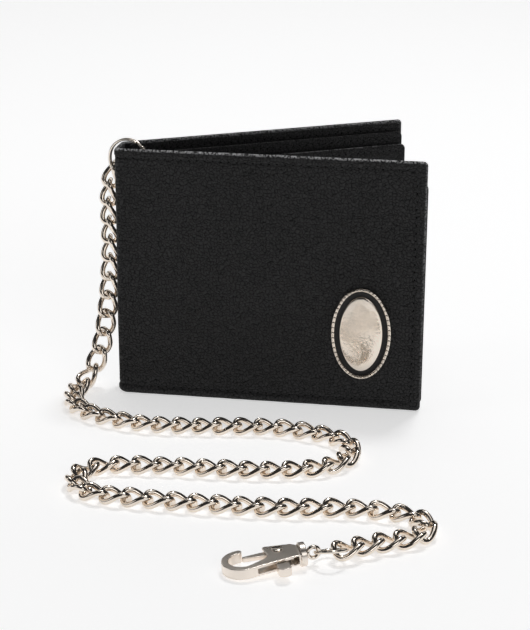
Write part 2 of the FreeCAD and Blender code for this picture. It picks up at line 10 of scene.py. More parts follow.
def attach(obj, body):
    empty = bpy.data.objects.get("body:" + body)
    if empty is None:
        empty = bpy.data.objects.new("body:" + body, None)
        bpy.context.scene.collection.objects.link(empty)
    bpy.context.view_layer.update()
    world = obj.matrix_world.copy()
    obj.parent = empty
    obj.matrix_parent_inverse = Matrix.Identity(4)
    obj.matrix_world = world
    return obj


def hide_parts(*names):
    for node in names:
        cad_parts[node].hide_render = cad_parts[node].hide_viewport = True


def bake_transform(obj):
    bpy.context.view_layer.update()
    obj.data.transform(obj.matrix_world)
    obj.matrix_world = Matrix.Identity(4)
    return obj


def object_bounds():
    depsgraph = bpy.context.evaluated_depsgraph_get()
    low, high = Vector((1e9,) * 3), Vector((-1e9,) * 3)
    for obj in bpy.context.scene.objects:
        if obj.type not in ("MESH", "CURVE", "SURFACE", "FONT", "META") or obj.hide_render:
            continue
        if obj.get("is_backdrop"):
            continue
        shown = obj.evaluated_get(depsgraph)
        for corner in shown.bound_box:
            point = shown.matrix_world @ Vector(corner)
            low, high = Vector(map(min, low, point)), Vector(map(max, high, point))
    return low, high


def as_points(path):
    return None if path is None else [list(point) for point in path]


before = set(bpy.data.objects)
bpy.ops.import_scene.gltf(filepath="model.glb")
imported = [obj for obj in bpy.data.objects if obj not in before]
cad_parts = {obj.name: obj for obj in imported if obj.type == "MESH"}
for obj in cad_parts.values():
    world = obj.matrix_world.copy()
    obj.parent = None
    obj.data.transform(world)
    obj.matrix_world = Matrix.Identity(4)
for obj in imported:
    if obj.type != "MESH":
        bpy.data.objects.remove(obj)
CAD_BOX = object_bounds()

random.seed(7)
rng = np.random.default_rng(7)
MM = 0.001
SX, SY = -51.85, -31.57        # wallet's own corner in the row frame, mm
SCENE = bpy.context.scene


def W(x, y, z):
    """a point of the wallet's own frame, mm, in the row frame, metres"""
    return Vector(((x + SX) * MM, (y + SY) * MM, z * MM))


# ------------------------------------------------------------------ camera
cam_data = bpy.data.cameras.new("camera")
cam = bpy.data.objects.new("camera", cam_data)
SCENE.collection.objects.link(cam)
fwd = Vector((-0.14444, 0.94002, -0.30902)).normalized()
right = fwd.cross(Vector((0, 0, 1))).normalized()
up = right.cross(fwd).normalized()
roll = math.radians(0.396)
r2 = right * math.cos(roll) + up * math.sin(roll)
u2 = up * math.cos(roll) - right * math.sin(roll)
m = Matrix.Identity(4)
for i in range(3):
    m[i][0], m[i][1], m[i][2] = r2[i], u2[i], -fwd[i]
m.translation = Vector((0.08895, -0.59645, 0.22970))
cam.matrix_world = m
cam_data.sensor_width = 36.0
cam_data.lens = 99.89
cam_data.shift_x = -0.0072
cam_data.shift_y = -0.0512
cam_data.clip_start = 0.01
cam_data.clip_end = 30
cam_data.dof.use_dof = False
SCENE.camera = cam
SCENE.view_settings.view_transform = "Standard"
SCENE.view_settings.look = "None"
SCENE.view_settings.exposure = 0.0
SCENE.view_settings.gamma = 1.0

# ----------------------------------------------------------- mesh helpers


def new_mesh(name, verts, faces, mats=(), face_mat=None, smooth=True, uv=None):
    me = bpy.data.meshes.new(name)
    me.from_pydata([tuple(map(float, v)) for v in verts], [], [tuple(map(int, f)) for f in faces])
    for mt in mats:
        me.materials.append(mt)
    if face_mat is not None:
        me.polygons.foreach_set("material_index", np.asarray(face_mat, np.int32))
    if smooth:
        me.polygons.foreach_set("use_smooth", np.ones(len(me.polygons), bool))
    if uv is not None:
        layer = me.uv_layers.new(name="UVMap")
        idx = np.zeros(len(me.loops), np.int32)
        me.loops.foreach_get("vertex_index", idx)
        layer.data.foreach_set("uv", np.asarray(uv, np.float32)[idx].ravel())
    me.validate()
    me.update()
    ob = bpy.data.objects.new(name, me)
    SCENE.collection.objects.link(ob)
    return ob


def float_attr(ob, name, values):
    a = ob.data.attributes.new(name, "FLOAT", "POINT")
    a.data.foreach_set("value", np.asarray(values, np.float32))


def normals_out(ob):
    bm = bmesh.new()
    bm.from_mesh(ob.data)
    bmesh.ops.recalc_face_normals(bm, faces=bm.faces)
    bm.to_mesh(ob.data)
    bm.free()


def apply_mods(ob):
    dg = bpy.context.evaluated_depsgraph_get()
    me = bpy.data.meshes.new_from_object(ob.evaluated_get(dg))
    ob.modifiers.clear()
    old = ob.data
    ob.data = me
    if old.users == 0:
        bpy.data.meshes.remove(old)


def tube_arrays(pts, rad, sides, refs, closed):
    """a round tube: pts (n,3), radius (n) or number, refs (n,3) roughly across the path"""
    pts = np.asarray(pts, float)
    n = len(pts)
    if closed:
        tan = np.roll(pts, -1, 0) - np.roll(pts, 1, 0)
    else:
        tan = np.gradient(pts, axis=0)
    tan /= np.linalg.norm(tan, axis=1)[:, None]
    refs = np.broadcast_to(np.asarray(refs, float), (n, 3))
    n1 = np.cross(tan, refs)
    n1 /= np.maximum(np.linalg.norm(n1, axis=1), 1e-9)[:, None]
    n2 = np.cross(tan, n1)
    rad = np.broadcast_to(np.asarray(rad, float), (n,))
    a = np.arange(sides) * 2 * math.pi / sides
    ring = (n1[:, None, :] * np.cos(a)[None, :, None] + n2[:, None, :] * np.sin(a)[None, :, None])
    v = (pts[:, None, :] + ring * rad[:, None, None]).reshape(-1, 3)
    f = []
    for i in range(n if closed else n - 1):
        j = (i + 1) % n
        for k in range(sides):
            k2 = (k + 1) % sides
            f.append((i * sides + k, i * sides + k2, j * sides + k2, j * sides + k))
    if not closed:
        c0, c1 = len(v), len(v) + 1
        v = np.vstack([v, pts[:1], pts[-1:]])
        for k in range(sides):
            k2 = (k + 1) % sides
            f.append((k2, k, c0))
            f.append(((n - 1) * sides + k, (n - 1) * sides + k2, c1))
    return v, np.array([q + (-1,) if len(q) == 3 else q for q in f]) if not closed else np.array(f)


class Heap:
    """meshes gathered into one object"""

    def __init__(self):
        self.v, self.f, self.m, self.n = [], [], [], 0

    def add(self, v, f, mat=0):
        v = np.asarray(v, float)
        self.v.append(v)
        for q in f:
            self.f.append(tuple(int(x) + self.n for x in q if x >= 0))
            self.m.append(mat)
        self.n += len(v)

    def make(self, name, mats):
        return new_mesh(name, np.vstack(self.v), self.f, mats, self.m)


# --------------------------------------------------------------- materials


def mat_new(name):
    mt = bpy.data.materials.new(name)
    mt.use_nodes = True
    nt = mt.node_tree
    for nd in list(nt.nodes):
        nt.nodes.remove(nd)
    out = nt.nodes.new("ShaderNodeOutputMaterial")
    bs = nt.nodes.new("ShaderNodeBsdfPrincipled")
    nt.links.new(bs.outputs[0], out.inputs[0])
    return mt, nt, bs


def nd(nt, kind, **kw):
    n = nt.nodes.new(kind)
    for k, v in kw.items():
        if k in n.inputs:
            n.inputs[k].default_value = v
        else:
            setattr(n, k, v)
    return n


def ramp(nt, src, stops):
    r = nt.nodes.new("ShaderNodeValToRGB")
    el = r.color_ramp.elements
    while len(el) < len(stops):
        el.new(0.5)
    for e, (p, c) in zip(el, stops):
        e.position = p
        e.color = c if len(c) == 4 else (c[0], c[1], c[2], 1)
    nt.links.new(src, r.inputs[0])
    return r.outputs[0]


def math_n(nt, op, a, b=None, clamp=False):
    n = nt.nodes.new("ShaderNodeMath")
    n.operation = op
    n.use_clamp = clamp
    for i, x in enumerate((a, b)):
        if x is None:
            continue
        if isinstance(x, (int, float)):
            n.inputs[i].default_value = x
        else:
            nt.links.new(x, n.inputs[i])
    return n.outputs[0]


def g3(v):
    return (v, v, v, 1)


def leather(name, base=0.0150, cell=1.9, strength=0.55, rough=0.46, edge=False, crease=True):
    """pebbled black leather: cells of about cell mm between fine cracks, with pores and fine wrinkles; edge adds a
    painted highlight of grey speckle along the top edge
    """
    mt, nt, bs = mat_new(name)
    tc = nd(nt, "ShaderNodeTexCoord")
    uv = tc.outputs["UV"]
    # bend the pattern a little so that no cell is straight-sided
    nz = nd(nt, "ShaderNodeTexNoise", Scale=300.0, Detail=2.0)
    nt.links.new(uv, nz.inputs["Vector"])
    sub = nd(nt, "ShaderNodeVectorMath", operation="SUBTRACT")
    nt.links.new(nz.outputs["Color"], sub.inputs[0])
    sub.inputs[1].default_value = (0.5, 0.5, 0.5)
    scl = nd(nt, "ShaderNodeVectorMath", operation="SCALE")
    nt.links.new(sub.outputs[0], scl.inputs[0])
    scl.inputs["Scale"].default_value = 0.0024
    add = nd(nt, "ShaderNodeVectorMath", operation="ADD")
    nt.links.new(uv, add.inputs[0])
    nt.links.new(scl.outputs[0], add.inputs[1])
    vor = nd(nt, "ShaderNodeTexVoronoi", feature="DISTANCE_TO_EDGE", voronoi_dimensions="2D", Scale=1000.0 / cell)
    nt.links.new(add.outputs[0], vor.inputs["Vector"])
    crack = ramp(nt, vor.outputs["Distance"], [(0.0, g3(0)), (0.12, g3(0.62)), (0.34, g3(1))])
    # the cracks come and go
    pn = nd(nt, "ShaderNodeTexNoise", Scale=1000.0, Detail=2.0)
    nt.links.new(uv, pn.inputs["Vector"])
    pm = ramp(nt, pn.outputs["Fac"], [(0.40, g3(0.40)), (0.58, g3(1))])
    crack = math_n(nt, "SUBTRACT", 1.0, math_n(nt, "MULTIPLY", math_n(nt, "SUBTRACT", 1.0, crack), pm))
    vor2 = nd(nt, "ShaderNodeTexVoronoi", feature="DISTANCE_TO_EDGE", voronoi_dimensions="2D", Scale=1000.0 / (cell * 0.47))
    nt.links.new(add.outputs[0], vor2.inputs["Vector"])
    crack2 = ramp(nt, vor2.outputs["Distance"], [(0.0, g3(0.35)), (0.09, g3(0.9)), (0.2, g3(1))])
    fine = nd(nt, "ShaderNodeTexNoise", Scale=2600.0, Detail=3.0)
    nt.links.new(uv, fine.inputs["Vector"])
    # vertical wrinkles, stretched along the height
    mp = nd(nt, "ShaderNodeMapping")
    mp.inputs["Scale"].default_value = (420.0, 60.0, 1.0)
    nt.links.new(add.outputs[0], mp.inputs["Vector"])
    wr = nd(nt, "ShaderNodeTexNoise", Scale=1.0, Detail=3.0)
    nt.links.new(mp.outputs[0], wr.inputs["Vector"])
    h = math_n(nt, "MULTIPLY", crack, 0.95)
    h = math_n(nt, "ADD", h, math_n(nt, "MULTIPLY", crack2, 0.28))
    h = math_n(nt, "ADD", h, math_n(nt, "MULTIPLY", fine.outputs["Fac"], 0.18))
    if crease:
        h = math_n(nt, "ADD", h, math_n(nt, "MULTIPLY", wr.outputs["Fac"], 0.55))
    bp = nd(nt, "ShaderNodeBump", Strength=strength, Distance=0.00040)
    nt.links.new(h, bp.inputs["Height"])
    nt.links.new(bp.outputs[0], bs.inputs["Normal"])
    # colour: painted shade darkening the cracks, slightly uneven over the hide
    big = nd(nt, "ShaderNodeTexNoise", Scale=38.0, Detail=4.0)
    nt.links.new(uv, big.inputs["Vector"])
    cell_v = nd(nt, "ShaderNodeTexVoronoi", feature="F1", voronoi_dimensions="2D", Scale=1000.0 / cell)
    nt.links.new(add.outputs[0], cell_v.inputs["Vector"])
    sep = nd(nt, "ShaderNodeSeparateColor")
    nt.links.new(cell_v.outputs["Color"], sep.inputs[0])
    tone = math_n(nt, "ADD", math_n(nt, "MULTIPLY", big.outputs["Fac"], 0.55), math_n(nt, "MULTIPLY", sep.outputs[0], 0.35))
    # painted shade: the tone falls towards the cracks
    tone = math_n(nt, "MULTIPLY", tone, math_n(nt, "ADD", math_n(nt, "MULTIPLY", crack, 0.75), 0.25))
    b = base
    col = ramp(nt, tone, [(0.0, (b * 0.06, b * 0.06, b * 0.07)), (0.30, (b * 0.70, b * 0.70, b * 0.74)), (0.8, (b * 1.7, b * 1.7, b * 1.76))])
    rgh = math_n(nt, "ADD", math_n(nt, "MULTIPLY", big.outputs["Fac"], 0.16), rough - 0.08)
    rgh = math_n(nt, "ADD", rgh, math_n(nt, "MULTIPLY", math_n(nt, "SUBTRACT", 1.0, crack), 0.25))
    if edge:
        # painted highlight: light grey speckle mixed in along the rim attribute, where the top edge catches the light
        # from above
        at = nd(nt, "ShaderNodeAttribute", attribute_name="rim")
        sp = nd(nt, "ShaderNodeTexNoise", Scale=1500.0, Detail=2.0)
        nt.links.new(uv, sp.inputs["Vector"])
        sp2 = nd(nt, "ShaderNodeTexNoise", Scale=330.0, Detail=2.0)
        nt.links.new(uv, sp2.inputs["Vector"])
        mixn = math_n(nt, "ADD", math_n(nt, "MULTIPLY", sp.outputs["Fac"], 0.72), math_n(nt, "MULTIPLY", sp2.outputs["Fac"], 0.28))
        highlight_speckle = ramp(nt, mixn, [(0.44, g3(0.0)), (0.56, g3(1.0))])
        k = math_n(nt, "MULTIPLY", at.outputs["Fac"], highlight_speckle, clamp=True)
        mx = nd(nt, "ShaderNodeMix", data_type="RGBA")
        nt.links.new(k, mx.inputs[0])
        nt.links.new(col, mx.inputs[6])
        mx.inputs[7].default_value = (0.55, 0.55, 0.56, 1)
        col = mx.outputs[2]
    nt.links.new(col, bs.inputs["Base Color"])
    nt.links.new(rgh, bs.inputs["Roughness"])
    spc = math_n(nt, "ADD", math_n(nt, "MULTIPLY", crack, 0.30), 0.05)
    nt.links.new(spc, bs.inputs["Specular IOR Level"])
    bs.inputs["Sheen Weight"].default_value = 0.06
    bs.inputs["Sheen Roughness"].default_value = 0.5
    return mt


def nickel(name, col=(0.70, 0.655, 0.60), rough=0.17, bump=0.08, scale=700.0, tarnish=0.35):
    """polished nickel plate: slightly uneven, with fine scratches and gloss that varies at random"""
    mt, nt, bs = mat_new(name)
    tc = nd(nt, "ShaderNodeTexCoord")
    ob = tc.outputs["Object"]
    n1 = nd(nt, "ShaderNodeTexNoise", Scale=scale, Detail=4.0)
    nt.links.new(ob, n1.inputs["Vector"])
    n2 = nd(nt, "ShaderNodeTexNoise", Scale=scale * 6, Detail=2.0)
    nt.links.new(ob, n2.inputs["Vector"])
    n3 = nd(nt, "ShaderNodeTexNoise", Scale=90.0, Detail=3.0)
    nt.links.new(ob, n3.inputs["Vector"])
    c = ramp(nt, n3.outputs["Fac"], [(0.3, tuple(x * (1 - 0.25 * tarnish) for x in col)), (0.5, col), (0.75, tuple(min(1, x * 1.06) for x in col))])
    nt.links.new(c, bs.inputs["Base Color"])
    r = math_n(nt, "ADD", math_n(nt, "MULTIPLY", n1.outputs["Fac"], 0.16), rough - 0.08)
    nt.links.new(r, bs.inputs["Roughness"])
    h = math_n(nt, "ADD", math_n(nt, "MULTIPLY", n1.outputs["Fac"], 0.8), math_n(nt, "MULTIPLY", n2.outputs["Fac"], 0.2))
    bp = nd(nt, "ShaderNodeBump", Strength=bump, Distance=0.0004)
    nt.links.new(h, bp.inputs["Height"])
    nt.links.new(bp.outputs[0], bs.inputs["Normal"])
    bs.inputs["Metallic"].default_value = 1.0
    return mt


def simple(name, col, rough, spec=0.4, nscale=2200.0, bump=0.3, vary=0.4):
    mt, nt, bs = mat_new(name)
    tc = nd(nt, "ShaderNodeTexCoord")
    n1 = nd(nt, "ShaderNodeTexNoise", Scale=nscale, Detail=3.0)
    nt.links.new(tc.outputs["Object"], n1.inputs["Vector"])
    c = ramp(nt, n1.outputs["Fac"], [(0.3, tuple(x * (1 - vary) for x in col)), (0.7, tuple(x * (1 + vary) for x in col))])
    nt.links.new(c, bs.inputs["Base Color"])
    bp = nd(nt, "ShaderNodeBump", Strength=bump, Distance=0.0001)
    nt.links.new(n1.outputs["Fac"], bp.inputs["Height"])
    nt.links.new(bp.outputs[0], bs.inputs["Normal"])
    bs.inputs["Roughness"].default_value = rough
    bs.inputs["Specular IOR Level"].default_value = spec
    return mt


M_OUT = leather("leather_outer", base=0.0135, cell=1.15, strength=0.85, edge=True)
M_IN = leather("leather_inner", base=0.0120, cell=1.0, strength=0.7, rough=0.50, edge=True, crease=False)
M_THREAD = simple("thread_black", (0.012, 0.012, 0.013), 0.55, 0.45, 6000.0, 0.4)
# near-black: painted shade standing in for the needle holes
M_HOLE_SHADE = simple("needle_hole_painted_shade", (0.0015, 0.0015, 0.0015), 0.9, 0.05)
M_LIN = simple("lining_cloth", (0.012, 0.012, 0.014), 0.85, 0.2, 3000.0, 0.8)
M_CHAIN = nickel("nickel_chain", (0.84, 0.75, 0.655), 0.11, 0.07, 600.0, 0.45)
M_RING = nickel("nickel_ring", (0.82, 0.745, 0.66), 0.14, 0.05, 500.0, 0.3)
M_HOOK = nickel("nickel_hook", (0.86, 0.78, 0.70), 0.30, 0.10, 260.0, 0.4)
M_BADGE = nickel("nickel_badge", (0.80, 0.72, 0.63), 0.14, 0.55, 150.0, 0.6)
# near-black for the ring recess of the badge
M_BADGE_DARK = simple("badge_recess", (0.010, 0.009, 0.009), 0.55, 0.35, 1800.0, 0.6)

# ------------------------------------------------- the chain, links along one spline
# the route of its middle line: control points of one smooth spline
ROUTE = [
    (-0.05315, -0.02582, 0.08155), (-0.05535, -0.02492, 0.07480), (-0.05595, -0.02417, 0.06700), (-0.05550, -0.02387, 0.05400),
    (-0.05585, -0.02397, 0.04100), (-0.05695, -0.02467, 0.02750), (-0.05885, -0.02577, 0.01450), (-0.06225, -0.02797, 0.00560),
    (-0.06485, -0.03217, 0.00250), (-0.06598, -0.03856, 0.00250), (-0.06488, -0.04605, 0.00250), (-0.06307, -0.05148, 0.00250),
    (-0.05668, -0.05770, 0.00250), (-0.04682, -0.06210, 0.00250), (-0.03471, -0.06478, 0.00250), (-0.02031, -0.06375, 0.00250),
    (-0.00625, -0.06155, 0.00250), (0.00706, -0.05958, 0.00250), (0.01965, -0.06147, 0.00250), (0.02875, -0.06417, 0.00250),
    (0.03435, -0.06877, 0.00250), (0.03705, -0.07637, 0.00250), (0.03475, -0.08427, 0.00250), (0.02955, -0.08957, 0.00250),
    (0.02135, -0.09297, 0.00250), (0.00932, -0.09537, 0.00250), (-0.00464, -0.09650, 0.00250), (-0.01858, -0.09673, 0.00250),
    (-0.03138, -0.09796, 0.00250), (-0.04105, -0.09957, 0.00250), (-0.04585, -0.10417, 0.00250), (-0.04745, -0.11057, 0.00250),
    (-0.04505, -0.11677, 0.00250), (-0.04045, -0.12047, 0.00250), (-0.03285, -0.12167, 0.00250), (-0.02102, -0.12219, 0.00250),
    (-0.00671, -0.12241, 0.00250), (0.00870, -0.12239, 0.00250), (0.02389, -0.12131, 0.00250), (0.03841, -0.11813, 0.00250),
    (0.05163, -0.11842, 0.00250), (0.05855, -0.11987, 0.00250), (0.06355, -0.12317, 0.00250), (0.06535, -0.12877, 0.00250),
    (0.06275, -0.13437, 0.00250), (0.05655, -0.13757, 0.00250), (0.04855, -0.14237, 0.00310), (0.04037, -0.14943, 0.00360),
]

LINKS = 68
cu = bpy.data.curves.new("route", "CURVE")
cu.dimensions = "3D"
sp_ = cu.splines.new("NURBS")
sp_.points.add(len(ROUTE) - 1)
for p_, q_ in zip(sp_.points, ROUTE):
    p_.co = (q_[0], q_[1], q_[2], 1.0)
sp_.order_u = 3
sp_.use_endpoint_u = True
cu.resolution_u = 32
route_ob = bpy.data.objects.new("route", cu)
SCENE.collection.objects.link(route_ob)
bpy.context.view_layer.update()
route_me = bpy.data.meshes.new_from_object(route_ob)
LINE = np.array([v.co for v in route_me.vertices], float)
if np.linalg.norm(LINE[0] - np.array(ROUTE[0])) > np.linalg.norm(LINE[-1] - np.array(ROUTE[0])):
    LINE = LINE[::-1]
bpy.data.objects.remove(route_ob)
SEG = np.linalg.norm(np.diff(LINE, axis=0), axis=1)
CHAIN_LENGTH = float(SEG.sum())
CUM = np.concatenate([[0], np.cumsum(SEG)])


def on_line(s):
    return np.array([np.interp(s, CUM, LINE[:, k]) for k in range(3)])


def walk(pitch):
    """stations at equal straight distances along the line"""
    out, s = [on_line(0.0)], 0.0
    while True:
        a, lo_, hi_ = out[-1], s, min(s + pitch * 1.6, CHAIN_LENGTH)
        if np.linalg.norm(on_line(hi_) - a) < pitch:
            return out
        for _ in range(30):
            mid_ = (lo_ + hi_) / 2
            if np.linalg.norm(on_line(mid_) - a) < pitch:
                lo_ = mid_
            else:
                hi_ = mid_
        s = (lo_ + hi_) / 2
        out.append(on_line(s))


lo, hi = 0.0064, 0.0074
for _ in range(22):
    mid = (lo + hi) / 2
    if len(walk(mid)) - 1 >= LINKS:
        lo = mid
    else:
        hi = mid
STATIONS = walk(lo)[: LINKS + 1]

# one curb link: a rounded oval of wire, twisted from end to end
LW, LB, LS = 0.92, 2.80, 3.01
NPT = 44
peri = 2 * LS + 2 * math.pi * LB
loc = []
for k in range(NPT):
    t = (k + 0.5) / NPT * peri
    if t < LS:
        loc.append((-LS / 2 + t, LB))
    elif t < LS + math.pi * LB:
        a = (t - LS) / LB
        loc.append((LS / 2 + LB * math.sin(a), LB * math.cos(a)))
    elif t < 2 * LS + math.pi * LB:
        loc.append((LS / 2 - (t - LS - math.pi * LB), -LB))
    else:
        a = (t - 2 * LS - math.pi * LB) / LB
        loc.append((-LS / 2 - LB * math.sin(a), -LB * math.cos(a)))
loc = np.array(loc)
XM = LS / 2 + LB
# the ends are drawn fuller than half circles
ang_ = np.arctan2(loc[:, 1] / LB, loc[:, 0] / XM)
cc_, ss_ = np.cos(ang_), np.sin(ang_)
q_ = (np.abs(cc_) ** 3.4 + np.abs(ss_) ** 3.4) ** (-1 / 3.4)
loc = np.stack([XM * cc_ * q_, LB * ss_ * q_], 1)
TWIST = math.radians(43)


def link_arrays(twist0, twist1, sides=12):
    x, y = loc[:, 0], loc[:, 1]
    u = (x / XM + 1) / 2
    u = u + 0.06 * np.sin(2 * math.pi * u) * -1.0
    ph = twist0 + (twist1 - twist0) * u
    pts = np.stack([x, y * np.cos(ph), y * np.sin(ph)], 1)
    ref = np.stack([0 * x, -np.sin(ph), np.cos(ph)], 1)
    return tube_arrays(pts, LW, sides, ref, True)


heap = Heap()
for i in range(LINKS):
    a, b = STATIONS[i], STATIONS[i + 1]
    x = (b - a) / np.linalg.norm(b - a)
    t = (a[2] + b[2]) / 2 * 1000
    bl = max(0.0, min(1.0, (14.0 - t) / 9.0))
    want = np.array([0, -1, 0]) * (1 - bl) + np.array([0, 0, 1]) * bl
    if t > 28:
        k = -math.radians(42) * min(1.0, (t - 28) / 24.0)
        want = np.array([want[0] * math.cos(k) - want[1] * math.sin(k), want[0] * math.sin(k) + want[1] * math.cos(k), want[2]])
    # no two links lie quite alike
    jig = math.radians(float(rng.uniform(-5, 5))) if 2 < i < LINKS - 2 else 0.0
    z = want - x * want.dot(x)
    z /= np.linalg.norm(z)
    y = np.cross(z, x)
    z, y = z * math.cos(jig) + y * math.sin(jig), y * math.cos(jig) - z * math.sin(jig)
    v, f = link_arrays(TWIST, -TWIST)
    R_ = np.stack([x, y, z], 1)
    heap.add((v * MM) @ R_.T + (a + b) / 2, f)
chain = heap.make("chain_links", [M_CHAIN])
CHAIN_NODES = ["chain_hanging", "chain_bend_a", "chain_run_a", "chain_bend_b", "chain_run_b", "chain_bend_c",
               "chain_run_c", "chain_bend_d", "chain_run_d"]
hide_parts(*CHAIN_NODES)
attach(chain, "front_half")

# ------------------------------------------------------ jump ring, swivel
JC = np.array([0.0384774, -0.1500744, 0.0038])
TC = np.array([0.947375, 0.320127, 0.0])


def rot_about(v, axis, ang):
    v, axis = np.asarray(v, float), np.asarray(axis, float) / np.linalg.norm(axis)
    return v * math.cos(ang) + np.cross(axis, v) * math.sin(ang) + axis * (axis @ v) * (1 - math.cos(ang))


jz = rot_about((0, 0, 1), TC, math.radians(-24))
jy = np.cross(jz, TC)
heap = Heap()
# an open ring whose ends butt together
ang = np.linspace(math.radians(100), math.radians(100 + 358.2), 72)
pts = np.array([JC + (TC * math.cos(a) + jy * math.sin(a)) * 4.6 * MM + jz * (0.10 * MM * (i / 71 - 0.5)) for i, a in enumerate(ang)])
v, f = tube_arrays(pts, 0.52 * MM, 12, jz, False)
heap.add(v, f)
jump = heap.make("jump_ring_wire", [M_RING])
normals_out(jump)
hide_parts("jump_ring")
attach(jump, "front_half")

COL = np.array([0.03065, -0.15297, 0.0036])
HU = np.array([-0.9222295, -0.3782339, -0.0801989])
HN = np.array([-0.0742008, -0.0304320, 0.9967789])
HV = np.cross(HN, HU)


def hk(u, v, n):
    """a point of the hook's own frame, mm: along it, across it, out of its plane"""
    return COL + (HU * u + HV * v + HN * n) * MM


def lathe(profile, place, seg=40):
    """profile: (along, radius) pairs in mm; place(along, a, r) gives the point"""
    n = len(profile)
    v, f = [], []
    for u, r in profile:
        for k in range(seg):
            v.append(place(u, 2 * math.pi * k / seg, r))
    for i in range(n - 1):
        for k in range(seg):
            k2 = (k + 1) % seg
            f.append((i * seg + k, i * seg + k2, (i + 1) * seg + k2, (i + 1) * seg + k))
    return np.array(v), f


heap = Heap()
ea = np.linspace(0, 2 * math.pi, 49)[:-1]
pts = np.array([hk(-3.3 + 1.7 * math.cos(a), 0, 1.7 * math.sin(a)) for a in ea])
v, f = tube_arrays(pts, 0.6 * MM, 12, HV, True)
heap.add(v, f)
prof = [(-2.0, 0.3), (-1.95, 0.95), (-1.5, 0.95), (-1.35, 0.8), (1.75, 0.8), (1.75, 1.0), (2.3, 1.0), (2.45, 0.85), (2.45, 0.01)]
v, f = lathe(prof, lambda u, a, r: hk(u, r * math.cos(a), r * math.sin(a)), 28)
heap.add(v, f)
eye = heap.make("swivel_eye_body", [M_RING])
normals_out(eye)
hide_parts("swivel_eye")
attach(eye, "front_half")


def cast(node, name, voxel, smooth, mats, body, subdiv=0):
    """the node's own shape with the soft edges of a die casting"""
    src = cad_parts[node]
    me = src.data.copy()
    ob = bpy.data.objects.new(name, me)
    SCENE.collection.objects.link(ob)
    me.materials.clear()
    for mt in mats:
        me.materials.append(mt)
    md = ob.modifiers.new("weld", "WELD")
    md.merge_threshold = 1e-6
    md = ob.modifiers.new("remesh", "REMESH")
    md.mode = "VOXEL"
    md.voxel_size = voxel * MM
    md.use_smooth_shade = True
    md = ob.modifiers.new("smooth", "SMOOTH")
    md.factor = 0.5
    md.iterations = smooth
    apply_mods(ob)
    ob.data.polygons.foreach_set("use_smooth", np.ones(len(ob.data.polygons), bool))
    ob.data.materials.clear()
    for mt in mats:
        ob.data.materials.append(mt)
    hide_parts(node)
    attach(ob, body)
    return ob


hook = cast("hook_frame", "hook_casting", 0.13, 9, [M_HOOK], "hook")
gate = cast("hook_gate", "hook_gate_casting", 0.11, 5, [M_HOOK], "gate")
heap = Heap()
for s_ in (-1, 1):
    prof = [(s_ * 0.9, 0.9), (s_ * 1.60, 0.9), (s_ * 1.60, 1.66), (s_ * 1.74, 1.70), (s_ * 1.88, 1.55), (s_ * 1.99, 1.0), (s_ * 2.02, 0.5), (s_ * 2.02, 0.005)]
    v, f = lathe(prof, lambda u, a, r: hk(6.6 + r * math.cos(a), -2.7 + r * math.sin(a), u), 32)
    heap.add(v, f)
v, f = lathe([(-1.0, 0.9), (1.0, 0.9)], lambda u, a, r: hk(6.6 + r * math.cos(a), -2.7 + r * math.sin(a), u), 32)
heap.add(v, f)
rivet = heap.make("hook_rivet_heads", [M_RING])
normals_out(rivet)
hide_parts("hook_rivet")
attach(rivet, "hook")

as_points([list(p) for p in LINE[::3]] + [list(LINE[-1])])

# ------------------------------------------------------------- split ring
RC = np.array([-0.04785, -0.0270434, 0.08425])
RN = np.array([0.2249511, 0.9743701, 0.0])
RX = np.array([0.9743701, -0.2249511, 0.0])
RZ = np.array([0.0, 0.0, 1.0])
heap = Heap()
a0 = math.radians(62)
n_ = 220
pts, refs = [], []
for i in range(n_):
    t = i / (n_ - 1)
    turn = t * 2 * (2 * math.pi - math.radians(9))
    a = a0 + turn
    # one turn beside the other, with a short crossing between them
    c = (turn - (2 * math.pi - math.radians(26))) / math.radians(34)
    c = max(0.0, min(1.0, c))
    off = -0.46 + 0.92 * (c * c * (3 - 2 * c))
    pts.append(RC + (RX * math.cos(a) + RZ * math.sin(a)) * 7.05 * MM + RN * off * MM)
    refs.append(RN)
rad = np.full(n_, 0.44 * MM)
v, f = tube_arrays(pts, rad, 12, refs, False)
heap.add(v, f)
sring = heap.make("split_ring_wire", [M_RING])
normals_out(sring)
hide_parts("split_ring")
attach(sring, "ring")

# -------------------------------------------------------- leather in sheets


def spaced(stops):
    """positions between stops (position, spacing up to the next stop)"""
    out = []
    for (p, d), (q, _) in zip(stops[:-1], stops[1:]):
        n = max(1, int(round((q - p) / d)))
        out += [p + (q - p) * k / n for k in range(n)]
    out.append(stops[-1][0])
    return np.array(out)


def edge_dist(sv, zv, L, z0, z1):
    s, z = np.meshgrid(sv, zv, indexing="ij")
    return s, z, np.minimum(np.minimum(s, L - s), np.minimum(z - z0, z1 - z))


